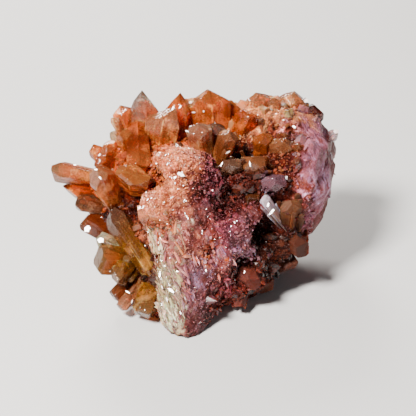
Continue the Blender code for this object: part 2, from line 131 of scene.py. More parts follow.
def put_mesh(name, points, corners, smooth):
    """A mesh object from points in millimetres and an array with one face's corners per row."""
    mesh = bpy.data.meshes.new(name)
    count, sides = corners.shape
    mesh.vertices.add(len(points))
    mesh.vertices.foreach_set("co", (points * MM).astype(np.float32).ravel())
    mesh.loops.add(count * sides)
    mesh.loops.foreach_set("vertex_index", corners.astype(np.int32).ravel())
    mesh.polygons.add(count)
    mesh.polygons.foreach_set("loop_start", np.arange(0, count * sides, sides, dtype=np.int32))
    mesh.polygons.foreach_set("use_smooth", np.full(count, smooth))
    mesh.update(calc_edges=True)
    mesh.validate()
    made = bpy.data.objects.new(name, mesh)
    bpy.context.scene.collection.objects.link(made)
    return made


def put_colour(piece, name, colours):
    """A colour for each vertex, as an attribute that materials can read."""
    layer = piece.data.attributes.new(name, "FLOAT_COLOR", "POINT")
    rgba = np.column_stack([colours, np.ones(len(colours))]).astype(np.float32)
    layer.data.foreach_set("color", rgba.ravel())


def put_number(piece, name, numbers):
    """A number for each vertex, as an attribute that materials can read."""
    layer = piece.data.attributes.new(name, "FLOAT", "POINT")
    layer.data.foreach_set("value", numbers.astype(np.float32))


def triangles(piece):
    """How many triangles a piece has."""
    piece.data.calc_loop_triangles()
    return len(piece.data.loop_triangles)


def ball_grid(across):
    """Directions over a whole ball, and its faces: the six sides of a cube, each a square grid
    with its lines spaced by equal angles, pushed out to a sphere and joined along the seams. A
    line's place on its side is the tangent of its angle, from -45 to 45 degrees."""
    steps = np.arange(across + 1)
    row, column = np.meshgrid(steps, steps, indexing="ij")
    edge = np.full_like(row, across)
    none = np.zeros_like(row)
    sides = [
        (edge, row, column), (none, column, row), (column, edge, row),
        (row, none, column), (row, column, edge), (column, row, none),
    ]
    lattice = np.concatenate([np.stack(s, axis=-1).reshape(-1, 3) for s in sides])
    shared, place = np.unique(lattice, axis=0, return_inverse=True)
    place = place.reshape(6, across + 1, across + 1)
    corners = np.stack(
        [place[:, :-1, :-1], place[:, 1:, :-1], place[:, 1:, 1:], place[:, :-1, 1:]], axis=-1
    ).reshape(-1, 4)
    angles = (shared / across * 2 - 1) * math.pi / 4
    return unit(np.tan(angles)), corners


# %% [markdown]
# ## The lump's form
# Broken rock is a few rough flat faces with worn edges. From a middle point, each flat face is met
# at its distance divided by how squarely it is faced; the nearest one wins. A sum of high powers
# does the same as taking the nearest, but leaves the edges a little round. Mounds and hollows are
# bell curves on that surface. The numbers repeat those of the CAD model, in millimetres.

# %% The lump's numbers
LUMP_MIDDLE = np.array((3.5, 3.5, 12.0))
EDGE_SHARPNESS = 20.0
BROKEN_FACES = {
    "front left": ((-0.573, -0.797, 0.191), 12.7),
    "front right": ((0.465, -0.873, 0.146), 9.0),
    "under right": ((0.77, -0.30, -0.56), 12.6),
    "under front": ((0.46, -0.42, -0.78), 13.6),
    "right": ((0.97, -0.22, -0.08), 13.2),
    "upper right": ((0.72, 0.10, 0.68), 16.4),
    "top": ((0.0, -0.05, 1.0), 10.2),
    "upper left": ((-0.62, 0.05, 0.78), 14.0),
    "left": ((-0.92, -0.18, -0.34), 15.4),
    "back": ((-0.25, 0.95, 0.15), 11.2),
    "under back": ((0.05, 0.72, -0.69), 13.0),
    "base": ((0.0, 0.0, -1.0), 13.0),
}


class Swell(NamedTuple):
    """A lump on the rock, or a hollow where height is negative."""

    toward: tuple
    radius: float
    height: float


SWELLS = {
    "upper mound": Swell((-1.7, -3.5, 21.5), 3.4, 3.4),
    "upper mound crown": Swell((-0.5, -1.0, 22.5), 2.2, 0.9),
    "lower mound": Swell((-5.0, -6.0, 17.0), 3.0, 3.0),
    "groove between mounds": Swell((-4.0, -4.0, 19.2), 1.5, -2.6),
    "lower cheek": Swell((-2.0, -8.0, 13.0), 4.0, 0.8),
    "cream ridge": Swell((-4.0, -11.5, 7.0), 3.0, 1.6),
    "toe": Swell((-2.6, -12.5, 1.6), 3.2, 2.7),
    "toe right": Swell((0.2, -11.5, 0.8), 2.6, 1.5),
    "left groove": Swell((-8.5, -6.0, 8.0), 2.0, -2.6),
    "groove above ridge": Swell((-6.0, -8.0, 8.5), 1.5, -1.4),
    "left hollow": Swell((-9.2, -3.4, 17.2), 2.2, -3.4),
    "left filling": Swell((-13.5, -0.5, 12.5), 2.4, 1.8),
    "crystal bed": Swell((-11.0, 3.0, 19.5), 4.6, 2.6),
    "bed rear": Swell((-6.5, 7.5, 21.0), 4.0, 1.8),
    "middle basin": Swell((4.0, -2.5, 17.0), 5.0, -2.4),
    "deep hollow": Swell((6.5, 2.0, 21.5), 1.9, -3.2),
    "deep hollow arm": Swell((9.5, 4.0, 21.0), 1.7, -2.4),
    "side hollow": Swell((10.0, -2.5, 11.0), 1.9, -2.8),
    "small hollow": Swell((2.5, -2.0, 18.0), 1.0, -1.8),
    "low hollow": Swell((7.0, -6.0, 6.5), 1.3, -1.8),
    "low hollow step": Swell((6.0, -7.0, 4.5), 1.0, -1.4),
    "crystal band": Swell((5.5, 1.0, 21.0), 4.6, -2.6),
    "crystal band end": Swell((11.5, 1.5, 18.5), 4.2, -2.2),
    "rim": Swell((13.0, 14.0, 22.5), 5.5, 1.4),
    "rim left": Swell((6.5, 11.0, 23.5), 3.5, 1.2),
    "right ledge": Swell((17.5, 7.0, 14.5), 5.0, 1.3),
    "back mound": Swell((2.0, 14.0, 11.0), 5.0, 1.4),
    "back hollow": Swell((10.0, 14.5, 12.0), 2.6, -1.8),
}
print(len(BROKEN_FACES), "broken faces", len(SWELLS), "swells")

# %% [markdown]
# ## From flat faces to broken rock
# A solid with flat faces could be cut from a block face by face with the Boolean modifier. The
# formula is quicker, and every point stays on its own line from the middle, so later steps can
# push it in or out along that line.

# %% Broken surface
def flat_meeting(directions, normals, distances, sharpness):
    """Reach in each direction of a solid bounded by flat faces. distances may differ from point
    to point. The reach is one over the power mean of facing / distance over all the faces."""
    facing = np.clip(directions @ normals.T, 1e-9, None) / distances
    most = facing.max(axis=-1, keepdims=True)
    total = ((facing / most) ** sharpness).sum(axis=-1) ** (1 / sharpness)
    return 1 / (most[..., 0] * total)


def broken_ball(directions):
    """Points where the broken faces meet, one in each direction from the lump's middle."""
    normals = unit(np.array([n for n, _ in BROKEN_FACES.values()]))
    distances = np.array([d for _, d in BROKEN_FACES.values()])
    reach = flat_meeting(unit(directions), normals, distances, EDGE_SHARPNESS)
    return LUMP_MIDDLE + unit(directions) * reach[:, None]


def swell_share(points, swell):
    """Bell curve of the distance from the swell's middle on the broken ball, 1 at the middle."""
    middle = broken_ball(np.array([swell.toward]) - LUMP_MIDDLE)
    away = np.linalg.norm(points - middle, axis=1) / swell.radius
    return np.exp(-(away**2))


# %% [markdown]
# ## Grains
# The stone is a mass of grown-together crystals of many sizes. One honest way to get that surface
# is to fill space with boxes turned at random, one to each cell of a lattice, and to take the
# highest box at each point. Every size of grain is the same sum at another scale. The chance
# numbers come from the cell's own place, so two runs give the same stone. The size, height and
# seed of the CAD model's two sizes of grain are repeated here.

# %% Grains
GRAIN_MIDDLE = 0.62
GRAINS = ((4.6, 2.0, 11), (2.1, 0.8, 31))
GRAIN_REACH = (0.75, 0.45)


def chance(cells, seed):
    """One repeatable number from 0 to 1 for each cell of a lattice."""
    with np.errstate(over="ignore"):
        c = cells.astype(np.int64).astype(np.uint32)
        mixed = c[..., 0] * np.uint32(73856093) ^ c[..., 1] * np.uint32(19349663)
        mixed = mixed ^ c[..., 2] * np.uint32(83492791) ^ np.uint32(seed * 2654435761 % 2**32)
        mixed = (mixed ^ (mixed >> np.uint32(15))) * np.uint32(2246822519)
        mixed = (mixed ^ (mixed >> np.uint32(13))) * np.uint32(3266489917)
        mixed = mixed ^ (mixed >> np.uint32(16))
    return mixed.astype(float) / 2**32


def grains(points, size, seed):
    """Height from 0 to about 1 of a mass of grains, and a chance number for each point's grain:
    each cell of a lattice holds a box turned at random, and the highest box at a point wins."""
    scaled = points / size
    home = np.floor(scaled)
    best = np.zeros(len(points))
    grain = np.zeros(len(points))
    for step in np.ndindex(3, 3, 3):
        cell = home + np.array(step) - 1
        heart, first, second = (
            np.stack([chance(cell, seed + k) for k in range(n, n + 3)], axis=-1)
            for n in (0, 3, 6)
        )
        heart, first, second = cell + heart, first - 0.5, second - 0.5
        first /= np.linalg.norm(first, axis=-1, keepdims=True) + 1e-9
        third = np.cross(first, second)
        third /= np.linalg.norm(third, axis=-1, keepdims=True) + 1e-9
        second = np.cross(third, first)
        away = scaled - heart
        across = np.stack([(away * axis).sum(-1) for axis in (first, second, third)], axis=-1)
        reach = GRAIN_REACH[0] + GRAIN_REACH[1] * chance(cell, seed + 9)
        height = reach - np.abs(across).max(-1)
        grain = np.where(height > best, chance(cell, seed + 10), grain)
        best = np.maximum(best, height)
    return best, grain


def again(numbers, factor):
    """Another chance number from each of the first: what is behind the point of a multiple."""
    return numbers * factor % 1.0


def lump_surface(directions):
    """Points of the lump in each direction: the broken ball, then the swells, then the grains of
    the CAD model."""
    plain = broken_ball(directions)
    reach = np.linalg.norm(plain - LUMP_MIDDLE, axis=1)
    for swell in SWELLS.values():
        reach = reach + swell.height * swell_share(plain, swell)
    for size, height, seed in GRAINS:
        reach = reach + height * (grains(plain, size, seed)[0] - GRAIN_MIDDLE)
    return LUMP_MIDDLE + unit(directions) * reach[:, None]


# %% [markdown]
# ## The kinds of stone
# The stone isn't one colour, and its kinds differ in texture too: rust is coarse and lies deep,
# the lilac flank is nearly smooth. One row for each kind keeps what belongs together in one place.
# Colours are linear, so they look darker here than on the screen.

# %% Kinds of stone
class Stone(NamedTuple):
    """A kind of stone: its colour, how high its fine grains stand, how far it lies below the CAD
    model's surface, in millimetres, and how far its grains are drawn out along the flow."""

    colour: tuple
    relief: float
    drop: float = 0.0
    drawn: float = 0.0


STONES = {
    "orange": Stone((0.32, 0.050, 0.007), 0.55, 0.9),
    "deep orange": Stone((0.20, 0.022, 0.003), 0.6, 0.8),
    "sugar": Stone((0.54, 0.145, 0.062), 0.42, 0.1),
    "frost_and_highlight": Stone((0.64, 0.280, 0.200), 0.40),
    # Paler sugar with a painted highlight, for the tops of the mounds.
    "peach": Stone((0.52, 0.170, 0.065), 0.45, 0.3),
    "salmon": Stone((0.21, 0.038, 0.021), 0.6, 0.1),
    "rust": Stone((0.085, 0.011, 0.005), 0.85, 0.8),
    # Rust darkened nearly to black as painted shade, for the deepest hollows.
    "rust in painted shade": Stone((0.030, 0.0035, 0.0015), 0.9, 1.5),
    "purple": Stone((0.25, 0.048, 0.072), 0.45, 0.3),
    "mauve": Stone((0.15, 0.050, 0.058), 0.38, 0.0, 0.45),
    "flank": Stone((0.32, 0.112, 0.155), 0.10, -0.1),
    "flank red": Stone((0.125, 0.016, 0.014), 0.12, -0.2),
    "pale lilac": Stone((0.46, 0.230, 0.340), 0.10, -0.1, 0.7),
    "vein": Stone((0.36, 0.180, 0.235), 0.35, 0.0, 0.8),
    # Painted shade: mauve stone darkened at the bottom of the lump.
    "mauve in painted shade": Stone((0.095, 0.027, 0.028), 0.45),
    "cream": Stone((0.18, 0.122, 0.066), 0.45, 0.0, 0.75),
    "milk": Stone((0.50, 0.390, 0.250), 0.15),
    "peach glass": Stone((0.50, 0.175, 0.075), 0.12),
    "pale pink": Stone((0.22, 0.058, 0.052), 0.36, 0.0, 0.55),
    "tan": Stone((0.22, 0.052, 0.020), 0.5, 0.6),
    # Dark brown, darkened further as painted shade in the grooves and at the lower right.
    "brown": Stone((0.040, 0.008, 0.004), 0.6, 0.6),
}
print(len(STONES), "kinds of stone")

# %% [markdown]
# ## Where each colour is
# Iron stains the stone orange by the sprays, its mounds are sugary and pale pink, its right side
# is lilac, its lower left cream, and rust lies in its hollows. Some kinds hold painted light: the
# rust in the deepest hollows, the brown in the grooves and at the lower right, and the mauve at the
# bottom are darkened as painted shade, and the pale tops of the mounds are partly a painted
# highlight. A painted map would be one way; here each kind of stone has a few places. The four
# numbers are a place's middle and how far it spreads, in millimetres.

# %% Places of colour
STONE_PLACES = {
    "orange": (
        (-11.5, 3.5, 19.5, 4.5), (-6.5, 6.5, 21.5, 3.5), (-13.0, 0.0, 18.0, 3.5),
        (-6.0, -2.0, 20.0, 1.6), (-4.0, -4.5, 20.5, 1.0), (-4.5, -4.5, 20.0, 1.8),
        (-4.0, -3.5, 22.0, 1.1), (-1.0, -4.5, 21.0, 0.9), (-7.0, -6.0, 17.0, 0.8),
        (-4.5, -7.0, 15.0, 1.4), (2.0, -8.5, 10.5, 1.6), (-8.0, 12.0, 14.0, 5.0),
    ),
    "deep orange": (
        (-10.5, -3.5, 15.5, 2.0), (-3.0, -5.5, 19.0, 1.1), (-11.5, 1.0, 21.5, 1.8),
    ),
    "sugar": (
        (-2.5, -3.0, 22.5, 2.8), (0.0, -0.5, 23.0, 2.0), (-2.5, -5.5, 20.5, 1.6),
        (-5.0, -7.0, 17.5, 3.0),
    ),
    # Painted highlight on the tops of the two mounds, over pale sugar.
    "frost_and_highlight": (
        (-0.5, -1.5, 23.0, 1.4), (-2.0, -1.5, 23.5, 1.0), (-6.0, -6.5, 18.0, 1.5),
        (-4.0, -6.5, 18.0, 1.1),
    ),
    "peach": (
        (-8.0, -6.0, 15.0, 2.0), (10.5, 13.0, 23.0, 4.0), (6.5, 8.5, 23.0, 2.5),
        (15.5, 15.0, 22.0, 3.0), (-1.5, -9.0, 11.5, 1.4), (4.0, 12.0, 22.0, 5.0),
    ),
    "salmon": (
        (-6.0, -7.5, 14.5, 0.9), (-0.5, -5.0, 19.5, 1.6), (2.0, -6.5, 14.0, 1.8),
        (13.5, 10.0, 21.0, 2.0), (14.0, 2.5, 14.0, 2.2), (2.0, 17.0, 15.0, 6.0),
        (6.0, 14.0, 3.0, 5.0),
    ),
    "rust": (
        (4.0, -3.0, 16.5, 3.4), (7.5, -2.0, 18.0, 3.2), (11.5, -0.5, 17.0, 2.2),
        (11.0, 5.5, 21.5, 2.4), (7.5, -6.5, 5.0, 2.6), (2.5, -9.0, 5.0, 1.4),
        (3.5, -9.0, 3.5, 1.8),
    ),
    # Painted shade over rust, in the hollows and under the crystals.
    "rust in painted shade": (
        (-8.5, -3.0, 16.5, 3.0), (-12.5, -2.0, 11.5, 2.2), (3.0, -2.0, 17.5, 1.6),
        (7.5, 3.0, 21.5, 2.4), (10.0, -2.5, 11.0, 2.2), (7.0, -7.0, 7.0, 1.6),
        (-8.0, -2.0, 20.0, 1.4),
    ),
    "purple": (
        (1.0, -2.5, 19.0, 3.1), (5.0, -5.5, 13.5, 2.2), (15.5, 3.0, 10.5, 2.8),
        (5.5, -8.0, 5.0, 1.6),
    ),
    "mauve": (
        (1.0, -1.5, 21.0, 1.6), (0.5, -5.0, 16.5, 2.4), (7.5, -4.0, 14.0, 2.2),
        (6.0, -6.0, 11.0, 2.4), (-0.5, -9.5, 8.5, 2.2), (0.5, -10.0, 5.5, 2.4),
    ),
    "flank": (
        (18.5, 13.5, 19.0, 2.4), (15.5, 11.0, 19.5, 3.0), (15.5, 5.0, 12.0, 2.6),
        (16.0, 10.0, 17.5, 3.0), (16.5, 7.5, 14.5, 2.6), (16.6, 3.6, 18.5, 2.4),
        (17.0, 3.6, 12.0, 2.4),
    ),
    "flank red": (
        (20.0, 11.5, 12.0, 3.4), (19.0, 6.0, 8.0, 3.4), (20.0, 14.5, 15.0, 3.2),
        (18.0, 11.0, 14.5, 3.6), (19.0, 8.0, 9.5, 3.5), (20.5, 8.0, 16.5, 2.6),
        (20.5, 7.0, 13.5, 2.8), (19.8, 5.5, 10.0, 2.6),
    ),
    "pale lilac": (
        (17.0, 10.5, 16.0, 2.0), (17.0, 7.5, 13.0, 2.0), (7.5, -6.0, 8.0, 1.2),
        (1.5, -8.5, 8.0, 1.2), (1.5, -8.0, 9.0, 0.9), (1.5, -7.0, 12.5, 1.0),
        (1.0, -9.5, 6.5, 1.0), (16.8, 3.2, 17.0, 1.7), (17.2, 3.2, 14.0, 1.7),
    ),
    "vein": (
        (0.0, -9.0, 10.0, 1.0), (-0.5, -11.0, 5.5, 1.0), (2.5, -7.5, 12.0, 0.7),
        (3.5, -7.5, 10.5, 0.9), (6.0, -6.5, 9.5, 1.1),
    ),
    # Painted shade at the bottom of the lump, by the toe.
    "mauve in painted shade": (
        (-0.5, -11.0, 3.0, 2.2), (0.5, -11.0, 1.5, 2.0), (-1.5, -12.0, 1.0, 1.6),
    ),
    "cream": (
        (-3.5, -11.5, 6.5, 2.1), (-4.5, -12.0, 4.0, 1.8), (-5.0, -9.5, 8.5, 2.0),
        (-6.5, -7.5, 12.0, 1.2), (-4.5, -13.0, 2.0, 1.4),
    ),
    "milk": (
        (-4.0, -12.5, 3.0, 1.7), (-2.5, -8.5, 14.0, 1.0), (-6.0, -8.0, 11.0, 1.2),
    ),
    "peach glass": (
        (-5.0, -8.0, 16.0, 1.5),
    ),
    "pale pink": (
        (-2.5, -7.5, 16.5, 1.6), (-2.5, -9.0, 11.5, 2.2), (-0.5, -8.0, 13.0, 2.2),
        (-1.0, -10.5, 6.5, 1.6), (3.5, -7.5, 8.0, 2.4), (12.0, 18.0, 12.0, 5.0),
    ),
    "tan": (
        (12.0, 3.5, 19.5, 2.4), (-9.0, -5.5, 11.5, 2.0), (-10.0, 8.0, 7.0, 5.0),
    ),
    # Painted shade over brown stone, in the grooves at the lower left and at the lower right.
    "brown": (
        (4.5, -1.0, 20.0, 2.2), (13.0, -0.5, 8.5, 3.2), (10.5, -2.0, 5.5, 3.0),
        (13.5, -1.0, 3.5, 3.2), (-8.5, -6.5, 8.0, 2.2), (-12.0, -4.5, 7.0, 3.0),
        (-7.5, -7.5, 5.5, 2.0),
    ),
}
print(sum(len(places) for places in STONE_PLACES.values()), "places of colour")

# %% [markdown]
# ## Between the places
# A point's colour is the mean of the places near it, weighed by a bell curve of their distance.
# So one kind fades into the next, as it does in stone, and the same mean gives how rough the stone
# is and how thickly it is grown over.

# %% Mean of the places
PLACE_EDGE = 1.7
PLAIN_KIND = "salmon"
PLAIN_SHARE = 0.003


def stone_mean(points, table):
    """Mean of a table's values over the kinds of stone near each point. Each place weighs as the
    bell curve of its distance, and a little plain stone lies between them all. A kind that the
    table leaves out counts as nothing."""
    total = np.full((len(points), 1), PLAIN_SHARE)
    value = total * np.atleast_1d(table.get(PLAIN_KIND, 0.0))
    for kind, places in STONE_PLACES.items():
        for *middle, radius in places:
            away = np.linalg.norm(points - np.array(middle), axis=1) / radius
            weight = np.exp(-PLACE_EDGE * away**2)[:, None]
            total = total + weight
            value = value + weight * np.atleast_1d(table.get(kind, 0.0))
    return value / total


def of_stones(column):
    """One value of every kind of stone, such as its colour, as a table for the mean."""
    return {kind: getattr(stone, column) for kind, stone in STONES.items()}


# %% [markdown]
# ## The rock
# The lump is one closed surface, and everything else stands on it. A ball of six square grids
# spreads its points evenly, with no pinched poles. Each point slides along its own line from the
# middle: first to the CAD model's surface, then by finer grains. They are high in the rusty
# hollows, low on the smooth right side, and drawn out into blades on the cream ridge and by it,
# where all the crystals run one way, the flow. The cracks between grains get painted shade, darker
# and redder than the grains' tops, and a few grains are pale.

# %% The rock
ROCK_ACROSS = 127
FINE_GRAINS = ((1.3, 0.9, 51), (0.6, 0.45, 71))
FLOW = np.array((0.53, -0.25, -0.81))
PIT_DEPTH = 1.6
PIT_START = 0.2
COLOUR_DRIFT = 1.3
PALE_GRAIN = np.array((0.8, 1.3, 1.5))
PALE_GRAINS = 0.92
# Painted shade: the tint that darkens and reddens the cracks between grains.
PAINTED_CREVICE_SHADE = np.array((0.38, 0.14, 0.10))
CREVICE_SHADE_SHARE = 0.95
CREVICE_TOP = GRAIN_MIDDLE + 0.05
CREVICE_DEPTH = 0.3
DRIFT_FACTORS = (7.3, 13.7, 29.1)
BRIGHT_FACTOR = 53.9


def rock_surface(directions):
    """Points of the finished rock, how deep each lies in a pit, its colour and how mixed that is.
    The depth is the height lost from the broken ball and its mounds, which are the swells with a
    plus sign. Each grain takes its colour from a place that is off its own by chance, so
    neighbours differ."""
    base = lump_surface(directions)
    relief = stone_mean(base, of_stones("relief"))[:, 0]
    contrast = np.clip(2 * relief, 0, 1)
    drop = stone_mean(base, of_stones("drop"))[:, 0]
    reach = np.linalg.norm(base - LUMP_MIDDLE, axis=1) - drop
    looked_up = base
    bright = np.ones(len(base))
    crevice_shade = np.zeros(len(base))
    along = ((base - LUMP_MIDDLE) @ FLOW)[:, None] * FLOW
    drawn = base - stone_mean(base, of_stones("drawn")) * along
    for size, height, seed in FINE_GRAINS:
        high, grain = grains(drawn, size, seed)
        reach = reach + height * relief * (high - GRAIN_MIDDLE)
        drift = np.stack([again(grain, k) for k in DRIFT_FACTORS], axis=-1) - 0.5
        looked_up = looked_up + 2 * COLOUR_DRIFT * drift * size
        bright = bright * (1 + relief * (2 * again(grain, BRIGHT_FACTOR) - 1))
        low = np.clip((CREVICE_TOP - high) / CREVICE_DEPTH, 0, 1)
        crevice_shade = crevice_shade + low / len(FINE_GRAINS)
    colour = stone_mean(looked_up, of_stones("colour")) * bright[:, None]
    colour = colour * (1 + ((grain > PALE_GRAINS) * contrast)[:, None] * PALE_GRAIN)
    # Painted shade in the cracks between grains: darker and redder where a grain is low.
    shade = CREVICE_SHADE_SHARE * (crevice_shade * contrast)[:, None]
    colour = colour * (1 - shade + shade * PAINTED_CREVICE_SHADE)
    plain = broken_ball(directions)
    mounds = np.linalg.norm(plain - LUMP_MIDDLE, axis=1)
    for swell in SWELLS.values():
        mounds = mounds + max(swell.height, 0.0) * swell_share(plain, swell)
    pit = np.clip((mounds - reach) / PIT_DEPTH - PIT_START, 0, 1)
    down = unit(directions)[:, 2]
    to_floor = np.where(down < -1e-6, LUMP_MIDDLE[2] / np.maximum(-down, 1e-6), np.inf)
    reach = np.minimum(reach, to_floor)
    return LUMP_MIDDLE + unit(directions) * reach[:, None], pit, colour, contrast


directions, rock_corners = ball_grid(ROCK_ACROSS)
rock_points, rock_pits, rock_colours, rock_contrasts = rock_surface(directions)
rock = put_mesh("rock", rock_points, rock_corners, smooth=False)
put_colour(rock, "stone", rock_colours)
put_number(rock, "pit", rock_pits)
put_number(rock, "contrast", rock_contrasts)
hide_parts("matrix")
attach(rock, "root")
print("rock", triangles(rock), "triangles")

# %% [markdown]
# ## The large crystals' numbers
# Creedite grows as six-sided prisms that widen outwards and end in a few slanted faces. Each row
# below repeats the CAD model's crystal: where it starts inside the rock, where its tip is, its
# width and depth, the kind of end it has, and its turn about its own length. A habit, which is a
# kind of end, gives its summit's place and, for each end face, which way it slopes, how steeply,
# and how far out it starts.

# %% Large crystals' numbers
class Crystal(NamedTuple):
    """A crystal from its root to its tip, with its size across and from front to back."""

    root: tuple
    tip: tuple
    width: float
    depth: float
    habit: str
    roll: float = 0.0


